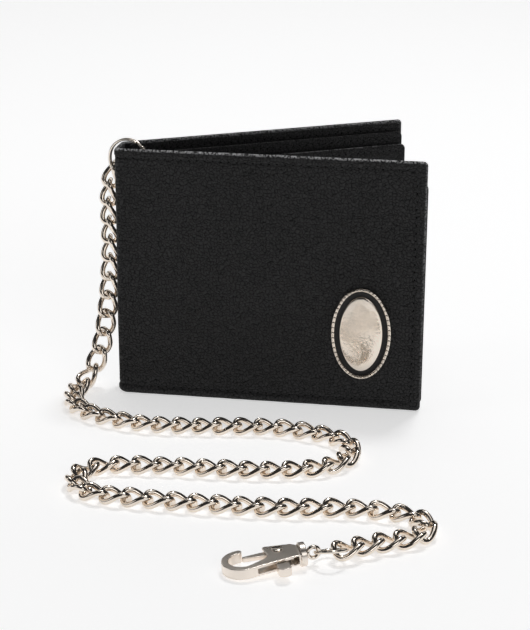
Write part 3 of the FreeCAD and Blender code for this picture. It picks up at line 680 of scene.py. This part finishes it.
def sheet_mesh(name, P, N, ho, hi, uv, mats, hole=None, rim=None):
    """a closed leather sheet: P middle points (ns, nz, 3) mm of the wallet's frame, N normals,
    ho and hi the thickness to each side; both faces meet at the border"""
    ns, nz = P.shape[:2]
    outer = (P + N * ho[..., None]).reshape(-1, 3)
    inner = (P - N * hi[..., None]).reshape(-1, 3)
    idx = np.arange(ns * nz).reshape(ns, nz)
    iidx = idx + ns * nz
    border = np.zeros((ns, nz), bool)
    border[0, :] = border[-1, :] = border[:, 0] = border[:, -1] = True
    iidx = np.where(border, idx, iidx)
    f = []
    skip = np.zeros((ns - 1, nz - 1), bool) if hole is None else hole
    for i in range(ns - 1):
        for j in range(nz - 1):
            if skip[i, j]:
                continue
            f.append((idx[i, j], idx[i, j + 1], idx[i + 1, j + 1], idx[i + 1, j]))
            f.append((iidx[i, j], iidx[i + 1, j], iidx[i + 1, j + 1], iidx[i, j + 1]))
    V = np.vstack([outer, inner])
    V = (V + np.array([SX, SY, 0])) * MM
    UV = np.vstack([uv.reshape(-1, 2), uv.reshape(-1, 2) + np.array([0.37, 0.21])])
    ob = new_mesh(name, V, f, mats, uv=UV)
    # rim: mask of the painted edge highlight, read by the leather material
    if rim is not None:
        float_attr(ob, "rim", np.concatenate([rim.ravel(), rim.ravel()]))
    bm = bmesh.new()
    bm.from_mesh(ob.data)
    loose = [v_ for v_ in bm.verts if not v_.link_faces]
    bmesh.ops.delete(bm, geom=loose, context="VERTS")
    bmesh.ops.recalc_face_normals(bm, faces=bm.faces)
    bm.to_mesh(ob.data)
    bm.free()
    return ob


def rim_round(d, r, h):
    """half thickness of a sheet with a rounded rim: d from the border, r the rim's reach"""
    k = np.clip(d / r, 0, 1)
    return h * np.sqrt(np.clip(1 - (1 - k) ** 2.2, 0, 1))


def gauss(x, w):
    return np.exp(-(x / w) ** 2)


# the cover's middle surface in plan: along the front, round the fold, along the back
TH = 0.65
C30, S30 = math.cos(math.radians(30)), math.sin(math.radians(30))
legs = []          # (length, function t -> (x, y, nx, ny))
legs.append((107.0 - 1.5, lambda t: (107.0 - t, TH, 0.0, -1.0)))
r1 = 1.5 - TH
legs.append((r1 * math.pi / 2, lambda t: (1.5 - r1 * math.sin(t / r1), 1.5 - r1 * math.cos(t / r1),
                                          -math.sin(t / r1), -math.cos(t / r1))))
r2_ = 1.6
tl = r2_ * math.tan(math.radians(30))
legs.append((10.4 - tl - 1.5, lambda t: (TH, 1.5 + t, -1.0, 0.0)))
cx, cy = TH + r2_, 10.4 - tl
legs.append((r2_ * math.radians(60), lambda t: (cx - r2_ * math.cos(t / r2_), cy + r2_ * math.sin(t / r2_),
                                                -math.cos(t / r2_), math.sin(t / r2_))))
BL = 107.0 - TH - tl
legs.append((BL, lambda t: (TH + (tl + t) * C30, 10.4 + (tl + t) * S30, -S30, C30)))
LEN = [q[0] for q in legs]
L_ALL = sum(LEN)
S_FOLD0 = LEN[0]
S_SP1 = sum(LEN[:2])
S_SP2 = sum(LEN[:3])
S_BACK = sum(LEN[:4])


def cover_at(s):
    for ln, fn in legs:
        if s <= ln or fn is legs[-1][1]:
            return fn(min(s, ln))
        s -= ln


HT = 89.0
ST_D, ST_S = 3.1, 3.3          # seam's distance from the long and the free edges
sv = spaced([(0, 0.12), (0.6, 0.25), (4.6, 0.75), (S_FOLD0 - 2, 0.35), (S_FOLD0, 0.17), (S_SP1, 0.45), (S_SP2, 0.2),
             (S_BACK, 0.4), (S_BACK + 2, 0.75), (L_ALL - 4.6, 0.25), (L_ALL - 0.6, 0.12), (L_ALL, 1)])
zv = spaced([(0, 0.12), (0.6, 0.25), (4.4, 0.75), (HT - 4.4, 0.25), (HT - 0.6, 0.12), (HT, 1)])
s_, z_, d_ = edge_dist(sv, zv, L_ALL, 0.0, HT)
base = np.array([cover_at(float(q)) for q in sv])
P = np.zeros(s_.shape + (3,))
N = np.zeros(s_.shape + (3,))
P[..., 0], P[..., 1], P[..., 2] = base[:, 0][:, None], base[:, 1][:, None], z_
N[..., 0], N[..., 1] = base[:, 2][:, None], base[:, 3][:, None]
# free-edge corners slightly rounded
RCN = 1.6
for (s_edge, sg) in ((0.0, 1), (L_ALL, -1)):
    for (z_edge, zg) in ((0.0, 1), (HT, -1)):
        a = RCN - np.abs(s_ - s_edge)
        b = RCN - np.abs(z_ - z_edge)
        inside = (a > 0) & (b > 0)
        mx_ = np.maximum(a, b)
        ln_ = np.sqrt(a * a + b * b)
        k = np.where(inside, mx_ / np.maximum(ln_, 1e-9), 1.0)
        da, db = a * (k - 1), b * (k - 1)
        # move along the sheet (x and y of the middle surface) and up
        dirx = -base[:, 3][:, None] * -1.0
        tx = np.where(inside, -da * sg, 0.0)
        # tangent of growing s
        tanx = base[:, 3][:, None]
        tany = -base[:, 2][:, None]
        P[..., 0] += tx * tanx
        P[..., 1] += tx * tany
        P[..., 2] += np.where(inside, -db * zg, 0.0)
# the foot rises round the fold
xx = P[..., 0]
foot = np.where(s_ <= S_FOLD0 + 2, np.clip(3 - xx, 0, 2.35), np.clip(2.35 - np.clip(s_ - S_SP2 + 1.5, 0, 4) * 0.8, 0, 2.35))
low = 3 - np.sqrt(np.clip(9 - foot ** 2, 0, 9))
P[..., 2] += low * np.clip(1 - z_ / 9.0, 0, 1)
# thickness: rounded rim, turned edge puffed outside the seam, seam drawn in
L_side = np.minimum(s_, L_ALL - s_)
d_seam = np.minimum(np.abs(np.minimum(z_, HT - z_) - ST_D), np.abs(L_side - ST_S))
d_seam = np.where(L_side < ST_S, np.abs(L_side - ST_S), d_seam)
d_seam = np.where(np.minimum(z_, HT - z_) < ST_D - 0.01, np.minimum(np.abs(np.minimum(z_, HT - z_) - ST_D), 99), d_seam)
d_seam = np.where((L_side < ST_S) | (np.minimum(z_, HT - z_) < ST_D), np.minimum(np.abs(L_side - ST_S), np.abs(np.minimum(z_, HT - z_) - ST_D)), d_seam)
hh = rim_round(d_, 0.95, TH)
puff = 0.22 * np.sin(np.clip(d_ / ST_D, 0, 1) * math.pi) ** 1.0
seam = -0.20 * gauss(d_seam, 0.42) * np.clip((d_ - 0.3) / 1.0, 0, 1)
wave = (0.10 * np.sin(s_ / 13.0 + 0.6) * np.sin(z_ / 21.0 + 1.1) + 0.07 * np.sin(s_ / 6.1 + z_ / 17.0) + 0.05 * np.sin(z_ / 7.3 + s_ / 31.0))
wave *= np.clip(d_ / 9, 0, 1)
near = np.where(s_ <= S_FOLD0, S_FOLD0 - s_, 99)
ridge = 0.10 * np.sin(near * 2.6 + 0.8 * np.sin(z_ / 6.0)) * np.exp(-near / 5.0) * np.clip(d_ / 4, 0, 1)
ridge += 0.07 * np.sin(s_ * 1.1 + 1.4 * np.sin(z_ / 3.0)) * np.exp(-z_ / 9.0) * np.clip(d_ / 4, 0, 1)
edge_wob = 0.05 * np.sin(s_ / 1.7 + 1.3 * np.sin(s_ / 5.0)) * gauss(d_, 0.8)
ho = np.where(d_ <= 0, 0, hh + puff + seam + wave + ridge + edge_wob * (d_ > 0))
hi = np.where(d_ <= 0, 0, hh)
# hole for the eyelet through the fold's wall
EY_Y, EY_Z = 5.4, 78.2
sc, zc = (sv[1:] + sv[:-1]) / 2, (zv[1:] + zv[:-1]) / 2
pc = np.array([cover_at(float(q)) for q in sc])
hole = ((pc[:, 1][:, None] - EY_Y) ** 2 + (zc[None, :] - EY_Z) ** 2 < 2.75 ** 2) & (pc[:, 0][:, None] < 1.0)
# rim: mask of a painted highlight, full along the top edge and faint on the free ends, fading lower down, where the
# edges catch the light from above
top_edge_highlight = np.clip((z_ - (HT - 0.75)) / 0.35, 0, 1)
end_edge_highlight = np.clip((0.8 - L_side) / 0.6, 0, 1) * np.clip(z_ / 60, 0.1, 1)
rim = np.clip(top_edge_highlight * 1.0 + end_edge_highlight * 0.35, 0, 1)
uv = np.stack([s_ * MM, z_ * MM], -1)
cover = sheet_mesh("outer_leather_cover", P, N, ho, hi, uv, [M_OUT], hole=hole, rim=rim)
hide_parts("cover_front", "fold_spine", "cover_back")
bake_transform(cover)


# ------------------------------------------------------------------ seams
def stitch_row(heap_t, pts, nrm, pitch=2.75, long=1.95, rad=0.17, high=0.16, hole_r=0.30, skip=None):
    """stitches along a polyline on a surface (mm, wallet's frame) with a needle hole at each end"""
    pts, nrm = np.asarray(pts, float), np.asarray(nrm, float)
    seg = np.linalg.norm(np.diff(pts, axis=0), axis=1)
    cum = np.concatenate([[0], np.cumsum(seg)])
    n = int(cum[-1] // pitch)
    at = lambda q, arr: np.array([np.interp(q, cum, arr[:, k]) for k in range(3)])
    for i in range(n):
        q0 = (cum[-1] - n * pitch) / 2 + i * pitch + (pitch - long) / 2
        if skip is not None and skip(at(q0 + long / 2, pts)):
            continue
        k = np.linspace(0, 1, 9)
        c = np.array([at(q0 + t * long, pts) for t in k])
        nn = np.array([at(q0 + t * long, nrm) for t in k])
        nn /= np.linalg.norm(nn, axis=1)[:, None]
        lift = high * np.sin(k * math.pi) ** 0.6 - 0.10
        c = c + nn * lift[:, None]
        r = rad * (0.72 + 0.28 * np.sin(k * math.pi))
        v, f = tube_arrays(c, r, 7, nn, False)
        heap_t.add((v + np.array([SX, SY, 0])) * MM, f, 0)
        # the needle hole beyond the stitch's end: a small near-black dish, painted shade standing in for the hole
        q = q0 + long + (pitch - long) / 2
        if q < cum[-1]:
            o, no = at(q, pts), at(q, nrm)
            no /= np.linalg.norm(no)
            t1 = at(min(q + 0.1, cum[-1]), pts) - o
            if np.linalg.norm(t1) < 1e-6:
                t1 = o - at(q - 0.1, pts)
            t1 /= np.linalg.norm(t1)
            t2 = np.cross(no, t1)
            vv, ff = [], []
            for ring, (rr, hh_) in enumerate(((1.0, 0.0), (0.75, 0.045), (0.35, 0.03))):
                for a in range(10):
                    w = 2 * math.pi * a / 10
                    vv.append(o + (t1 * math.cos(w) * rr * 1.15 + t2 * math.sin(w) * rr * 0.85) * hole_r + no * (hh_ + 0.0))
            vv.append(o + no * 0.01)
            for ring in range(2):
                for a in range(10):
                    b_ = (a + 1) % 10
                    ff.append((ring * 10 + a, ring * 10 + b_, ring * 10 + 10 + b_, ring * 10 + 10 + a))
            for a in range(10):
                ff.append((20 + a, 20 + (a + 1) % 10, 30))
            heap_t.add((np.array(vv) + np.array([SX, SY, 0])) * MM, ff, 1)


def surf_fn(svals, zvals, P_, N_, ho_):
    S3 = P_ + N_ * ho_[..., None]

    def at(s, z):
        i = int(np.clip(np.searchsorted(svals, s) - 1, 0, len(svals) - 2))
        j = int(np.clip(np.searchsorted(zvals, z) - 1, 0, len(zvals) - 2))
        a = (s - svals[i]) / (svals[i + 1] - svals[i])
        b = (z - zvals[j]) / (zvals[j + 1] - zvals[j])
        f = lambda A: (A[i, j] * (1 - a) * (1 - b) + A[i + 1, j] * a * (1 - b) + A[i, j + 1] * (1 - a) * b + A[i + 1, j + 1] * a * b)
        return f(S3), f(N_)
    return at


def row_on(fn, poly, step=0.35):
    pts, nrm = [], []
    for (a, b) in zip(poly[:-1], poly[1:]):
        n = max(2, int(math.dist(a, b) / step))
        for k in range(n):
            t = k / n
            p, q = fn(a[0] + (b[0] - a[0]) * t, a[1] + (b[1] - a[1]) * t)
            pts.append(p)
            nrm.append(q)
    p, q = fn(*poly[-1])
    pts.append(p)
    nrm.append(q)
    return pts, nrm


fn = surf_fn(sv, zv, P, N, ho)
heap = Heap()
rows = [([(ST_S, HT - ST_D), (S_SP2 - 0.8, HT - ST_D)]),
        ([(ST_S, HT - ST_D - 2.0), (ST_S, ST_D)]),
        ([(ST_S, ST_D), (S_FOLD0 - 9.0, ST_D)])]
for poly in rows:
    stitch_row(heap, *row_on(fn, poly))
st_front = heap.make("seam_front", [M_THREAD, M_HOLE_SHADE])
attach(st_front, "front_half")
heap = Heap()
rows = [([(S_BACK + 1.2, HT - ST_D), (L_ALL - ST_S, HT - ST_D)]),
        ([(L_ALL - ST_S, HT - ST_D - 2.0), (L_ALL - ST_S, ST_D)]),
        ([(L_ALL - ST_S, ST_D), (S_BACK + 9.0, ST_D)])]
for poly in rows:
    stitch_row(heap, *row_on(fn, poly))
st_back = heap.make("seam_back", [M_THREAD, M_HOLE_SHADE])
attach(st_back, "back_half")


# --------------------------------------------------- inner leather, in sheets
def to_front(x, y):
    return x, y, 0.0, 1.0


def to_back(x, y):
    """back half's own frame (origin on the fold's axis) to the wallet's frame"""
    return 0.65 + x * C30 - y * S30, 10.4 + x * S30 + y * C30, S30, -C30


def panel(name, side, y0, th, x0, z0, x1, z1, mat, seam_rows=(), phase=0.0, amp=0.12, corner=2.0, rimw=0.8, flip=False, body=None, node=None, fine=0.9):
    """a thin sewn panel; y0 is the face towards the cover, th its thickness, growing into the wallet"""
    w, h = x1 - x0, z1 - z0
    su = spaced([(0, 0.12), (0.5, 0.4), (4.0, fine), (w - 4.0, 0.4), (w - 0.5, 0.12), (w, 1)])
    zu = spaced([(0, 0.12), (0.5, 0.4), (4.0, fine), (h - 4.0, 0.3), (h - 0.5, 0.12), (h, 1)])
    s, z, d = edge_dist(su, zu, w, 0.0, h)
    X, Z = s.copy(), z.copy()
    for (se, sg) in ((0.0, 1), (w, -1)):
        for (ze, zg) in ((0.0, 1), (h, -1)):
            a, b = corner - np.abs(s - se), corner - np.abs(z - ze)
            ins = (a > 0) & (b > 0)
            k = np.where(ins, np.maximum(a, b) / np.maximum(np.sqrt(a * a + b * b), 1e-9), 1.0)
            X += np.where(ins, -a * (k - 1) * sg, 0)
            Z += np.where(ins, -b * (k - 1) * zg, 0)
    X += x0
    Z += z0
    # a soft wave of the free middle, nothing at the sewn edges
    bend = amp * np.sin(math.pi * s / w) * (0.6 * np.sin(z / 17.0 + phase) + 0.4 * np.sin(s / 19.0 + z / 26.0 + phase * 2))
    yy = y0 + (th / 2 if side == "front" else -th / 2) + (bend if side == "front" else -bend)
    Pn = np.zeros(s.shape + (3,))
    Nn = np.zeros(s.shape + (3,))
    if side == "front":
        Pn[..., 0], Pn[..., 1] = X, yy
        Nn[..., 1] = 1.0
    else:
        Pn[..., 0] = 0.65 + X * C30 - yy * S30
        Pn[..., 1] = 10.4 + X * S30 + yy * C30
        Nn[..., 0], Nn[..., 1] = S30, -C30
    Pn[..., 2] = Z
    hh_ = rim_round(d, 0.45, th / 2)
    ho_ = hh_.copy()
    for (kind, dist) in seam_rows:
        dd = {"top": h - z, "low": z, "free": w - s, "fold": s}[kind] - dist
        ho_ = ho_ - 0.09 * gauss(dd, 0.4) * np.clip(d / 0.8, 0, 1)
    ho_ = np.where(d <= 0, 0, ho_ + 0.07 * np.sin(np.clip(d / 2.2, 0, 1) * math.pi))
    # painted highlight along the top edge, faint on the free edge, none on the dividers
    edge_highlight_mask = np.clip((z - (h - 0.35)) / 0.25, 0, 1) * 0.25 + np.clip((0.4 - (w - s)) / 0.3, 0, 1) * 0.04
    if "divider" in name:
        edge_highlight_mask = edge_highlight_mask * 0.0
    ob = sheet_mesh(name, Pn, Nn, ho_, np.where(d <= 0, 0, hh_), np.stack([(X + phase * 31) * MM, Z * MM], -1), [mat], rim=edge_highlight_mask)
    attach(ob, side + "_half")
    if node:
        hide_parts(*([node] if isinstance(node, str) else node))
    if seam_rows:
        f_ = surf_fn(su, zu, Pn, Nn, ho_)
        hp = Heap()
        tops = [dist for k_, dist in seam_rows if k_ == "top"]
        for (kind, dist) in seam_rows:
            t_ = tops[0] if tops else 2.0
            fr = [q for k_, q in seam_rows if k_ == "free"]
            fe = fr[0] if fr else 2.0
            if kind == "top":
                poly = [(2.0, h - dist), (w - fe, h - dist)]
            elif kind == "low":
                poly = [(2.0, dist), (w - fe, dist)]
            elif kind == "free":
                poly = [(w - dist, h - t_ - 2.0), (w - dist, 2.0)]
            else:
                poly = [(dist, h - t_ - 2.0), (dist, 2.0)]
            stitch_row(hp, *row_on(f_, poly, 0.6), pitch=2.5, long=1.75, rad=0.14, high=0.13, hole_r=0.24)
        sm = hp.make(name + "_seam", [M_THREAD, M_HOLE_SHADE])
        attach(sm, side + "_half")
    return ob


# front half: y counts inwards from the cover's outer face
panel("lining_front_sheet", "front", 1.3, 0.4, 2.2, 3.2, 106.2, 88.3, M_IN, [("top", 2.5)], 0.3, 0.0, node="lining_front")
panel("bill_divider_front_sheet", "front", 2.3, 0.6, 13.0, 1.2, 106.4, 85.0, M_IN, [("top", 2.2)], 0.9, 0.10, node="bill_divider_front")
panel("card_pocket_front_sheet", "front", 3.0, 0.6, 13.0, 1.2, 106.4, 70.0, M_IN, [("top", 2.2)], 1.7, 0.04, node="card_pocket_front")
panel("inner_panel_front_sheet", "front", 3.7, 0.6, 13.0, 1.2, 107.15, 80.6, M_IN, [("top", 2.2), ("free", 3.0), ("fold", 2.0), ("low", 2.4)], 2.6, 0.10, node="inner_panel_front")
# back half, in its own frame: the cover's inner face is at y = -0.65
XB, BW = 13.0 - 0.65, 107.0 - 0.65
panel("lining_back_sheet", "back", -0.65, 0.4, 1.9, 0.8, BW - 0.8, 88.3, M_IN, [("top", 2.5), ("free", 2.6)], 0.5, 0.0, node="lining_back")
panel("bill_divider_back_sheet", "back", -1.65, 0.6, XB, 1.2, BW - 0.6, 85.0, M_IN, [("top", 2.2)], 1.1, 0.10, node="bill_divider_back")
panel("card_pocket_back_sheet", "back", -2.35, 0.6, XB, 1.2, BW - 0.6, 70.0, M_IN, [("top", 2.2)], 1.9, 0.04, node="card_pocket_back")
panel("inner_panel_back_sheet", "back", -3.05, 0.6, XB, 1.2, BW + 0.15, 80.6, M_IN, [("top", 2.2), ("free", 3.0), ("fold", 2.0), ("low", 2.4)], 2.9, 0.10, node="inner_panel_back")
# welts between the layers
panel("edge_welt_front_sheet", "front", 1.7, 0.6, 101.0, 1.2, 106.4, 72.0, M_IN, (), 3.3, 0.0, corner=0.8, node="edge_welt_front")
panel("foot_welt_front_sheet", "front", 1.7, 0.6, 13.0, 1.2, 100.8, 5.0, M_IN, (), 3.6, 0.0, corner=0.8, node="foot_welt_front", fine=1.5)
panel("edge_welt_back_sheet", "back", -1.05, 0.6, BW - 6.0, 1.2, BW - 0.6, 72.0, M_IN, (), 3.9, 0.0, corner=0.8, node="edge_welt_back")
panel("foot_welt_back_sheet", "back", -1.05, 0.6, XB, 1.2, BW - 6.2, 5.0, M_IN, (), 4.2, 0.0, corner=0.8, node="foot_welt_back", fine=1.5)
# the fold's own lining
ys = spaced([(1.8, 0.1), (2.1, 0.5), (9.05, 0.1), (9.35, 1)])
zs = spaced([(3.2, 0.12), (3.6, 1.0), (88.0, 0.12), (88.4, 1)])
yg, zg = np.meshgrid(ys, zs, indexing="ij")
dg_ = np.minimum(np.minimum(yg - 1.8, 9.35 - yg), np.minimum(zg - 3.2, 88.4 - zg))
Pn = np.stack([np.full_like(yg, 1.5), yg, zg], -1)
Nn = np.zeros_like(Pn)
Nn[..., 0] = 1.0
h0 = np.where(dg_ <= 0, 0, rim_round(dg_, 0.3, 0.2))
yc, zc2 = (ys[1:] + ys[:-1]) / 2, (zs[1:] + zs[:-1]) / 2
hole2 = ((yc[:, None] - EY_Y) ** 2 + (zc2[None, :] - EY_Z) ** 2) < 2.75 ** 2
lsp = sheet_mesh("lining_fold_sheet", Pn, Nn, h0, h0, np.stack([yg * MM, zg * MM], -1), [M_IN], hole=hole2, rim=np.zeros_like(yg))
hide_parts("lining_spine")
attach(lsp, "front_half")

# ------------------------------------------------------------------ eyelet
for node in ("eyelet", "eyelet_washer", "emblem_washer_top", "emblem_washer_low"):
    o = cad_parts[node]
    o.data.materials.clear()
    o.data.materials.append(M_RING)

# ------------------------------------------------------------------- badge
# plain oval: rounded rim with fine beads, dark recess, polished crowned middle
EX, EZ = 86.0, 27.4
A_, B_ = 10.4, 16.5
SEG = 160
prof = [(0.0, 0.0, 0), (0.0, 0.45, 0), (0.06, 0.72, 0), (0.20, 0.93, 0), (0.42, 1.02, 0), (0.80, 1.02, 0), (1.02, 0.93, 0), (1.14, 0.75, 0), (1.18, 0.50, 1),
        (1.20, 0.46, 1), (2.95, 0.46, 1), (2.99, 0.50, 0), (3.03, 0.78, 0), (3.14, 0.92, 0), (3.35, 0.98, 0), (3.8, 1.06, 0), (4.6, 1.16, 0), (6.0, 1.24, 0), (8.0, 1.30, 0), (9.6, 1.32, 0)]
vb, fb, mb = [], [], []
for (d, hgt, m_) in prof:
    for k in range(SEG):
        a = 2 * math.pi * k / SEG
        # ellipse shrunk by d along its normals
        nx_, nz_ = math.cos(a) / A_, math.sin(a) / B_
        ln = math.hypot(nx_, nz_)
        px, pz = A_ * math.cos(a) - d * nx_ / ln, B_ * math.sin(a) - d * nz_ / ln
        if d > 5.5:
            q = (9.6 - d) / (9.6 - 5.5)
            e = 5.5
            px = (A_ * math.cos(a) - e * nx_ / ln) * (q * 0.92 + 0.08 * q)
            pz = (B_ * math.sin(a) - e * nz_ / ln) * (q * 0.92 + 0.08 * q)
        vb.append(tuple(W(EX + px, -hgt, EZ + pz)))
for i in range(len(prof) - 1):
    for k in range(SEG):
        k2 = (k + 1) % SEG
        if i == len(prof) - 2:
            continue
        fb.append((i * SEG + k, i * SEG + k2, (i + 1) * SEG + k2, (i + 1) * SEG + k))
        mb.append(1 if 8 <= i <= 10 else 0)
cidx = len(vb)
vb.append(tuple(W(EX, -1.32, EZ)))
last = (len(prof) - 2) * SEG
for k in range(SEG):
    fb.append((last + k, last + (k + 1) % SEG, cidx))
    mb.append(0)
# back face
cb = len(vb)
vb.append(tuple(W(EX, 0.0, EZ)))
for k in range(SEG):
    fb.append(((k + 1) % SEG, k, cb))
    mb.append(0)
hb = Heap()
hb.v.append(np.array(vb))
hb.f = [tuple(q) for q in fb]
hb.m = mb
hb.n = len(vb)
# beads along the rim
NB = 54
for k in range(NB):
    a = 2 * math.pi * k / NB
    nx_, nz_ = math.cos(a) / A_, math.sin(a) / B_
    ln = math.hypot(nx_, nz_)
    px, pz = A_ * math.cos(a) - 0.62 * nx_ / ln, B_ * math.sin(a) - 0.62 * nz_ / ln
    vv, ff = [], []
    for (r, hgt) in ((0.44, 0.94), (0.40, 1.14), (0.26, 1.30), (0.10, 1.36)):
        for q in range(12):
            w = 2 * math.pi * q / 12
            vv.append(tuple(W(EX + px + r * math.cos(w), -hgt, EZ + pz + r * math.sin(w))))
    for i in range(3):
        for q in range(12):
            q2 = (q + 1) % 12
            ff.append((i * 12 + q, i * 12 + q2, (i + 1) * 12 + q2, (i + 1) * 12 + q))
    ff.append(tuple(36 + q for q in range(12)))
    hb.add(vv, ff, 0)
for s2 in (-1, 1):
    zc3 = EZ + s2 * 8.0
    vv, ff = [], []
    for yq in (0.0, 2.05):
        for q in range(16):
            w = 2 * math.pi * q / 16
            vv.append(tuple(W(EX + 0.95 * math.cos(w), yq, zc3 + 0.95 * math.sin(w))))
    for q in range(16):
        q2 = (q + 1) % 16
        ff.append((q, q2, 16 + q2, 16 + q))
    ff.append(tuple(16 + q for q in range(16)))
    hb.add(vv, ff, 0)
badge = hb.make("badge_oval", [M_BADGE, M_BADGE_DARK])
normals_out(badge)
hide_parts("emblem_plate")
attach(badge, "front_half")

# ------------------------------------------------------------ floor, lights
mt, nt, bs = mat_new("floor_pale")
tc = nd(nt, "ShaderNodeTexCoord")
fn_ = nd(nt, "ShaderNodeTexNoise", Scale=3.0, Detail=2.0)
nt.links.new(tc.outputs["Object"], fn_.inputs["Vector"])
fc = ramp(nt, fn_.outputs["Fac"], [(0.0, (0.86, 0.86, 0.865)), (1.0, (0.88, 0.88, 0.88))])
nt.links.new(fc, bs.inputs["Base Color"])
bs.inputs["Roughness"].default_value = 0.6
bs.inputs["Specular IOR Level"].default_value = 0.15
bs.inputs["Emission Color"].default_value = (1.0, 1.0, 1.0, 1)
bs.inputs["Emission Strength"].default_value = 0.54
bpy.ops.mesh.primitive_plane_add(size=16.0, location=(0, 3.0, -0.0002))
floor = bpy.context.object
floor.name = "floor"
floor.data.materials.append(mt)
floor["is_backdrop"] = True

world = bpy.data.worlds.new("studio")
SCENE.world = world
world.use_nodes = True
world.node_tree.nodes["Background"].inputs[0].default_value = (0.97, 0.98, 1.0, 1)
world.node_tree.nodes["Background"].inputs[1].default_value = 0.03


def area(name, loc_, target, size, power, size_y=None, col=(1, 1, 1)):
    ld = bpy.data.lights.new(name, "AREA")
    ld.energy = power
    ld.color = col
    ld.size = size
    if size_y:
        ld.shape = "RECTANGLE"
        ld.size_y = size_y
    ob = bpy.data.objects.new(name, ld)
    SCENE.collection.objects.link(ob)
    ob.location = loc_
    d = Vector(target) - Vector(loc_)
    ob.rotation_euler = d.to_track_quat("-Z", "Y").to_euler()
    return ob


T = (0.0, -0.06, 0.03)
area("key", (0.14, 0.32, 1.20), T, 0.17, 3.3)
area("top", (0.1, 0.2, 1.7), (0.1, 0.1, 0), 1.5, 5.0, 1.1)
area("back_strip", (-0.2, 1.5, 0.85), (0.0, -0.1, 0.0), 2.4, 5.0, 0.8)
area("front_fill", (0.9, -1.3, 0.75), T, 0.9, 3.4, 0.7)
area("left_fill", (-1.4, -0.5, 0.6), T, 0.8, 1.2, 0.6)

BEFORE = CAD_BOX


def plain(x):
    if isinstance(x, (list, tuple)) or hasattr(x, "__len__"):
        return [plain(q) for q in x]
    return float(x)


{"cad_box": plain(BEFORE), "visual_box": plain(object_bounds())}
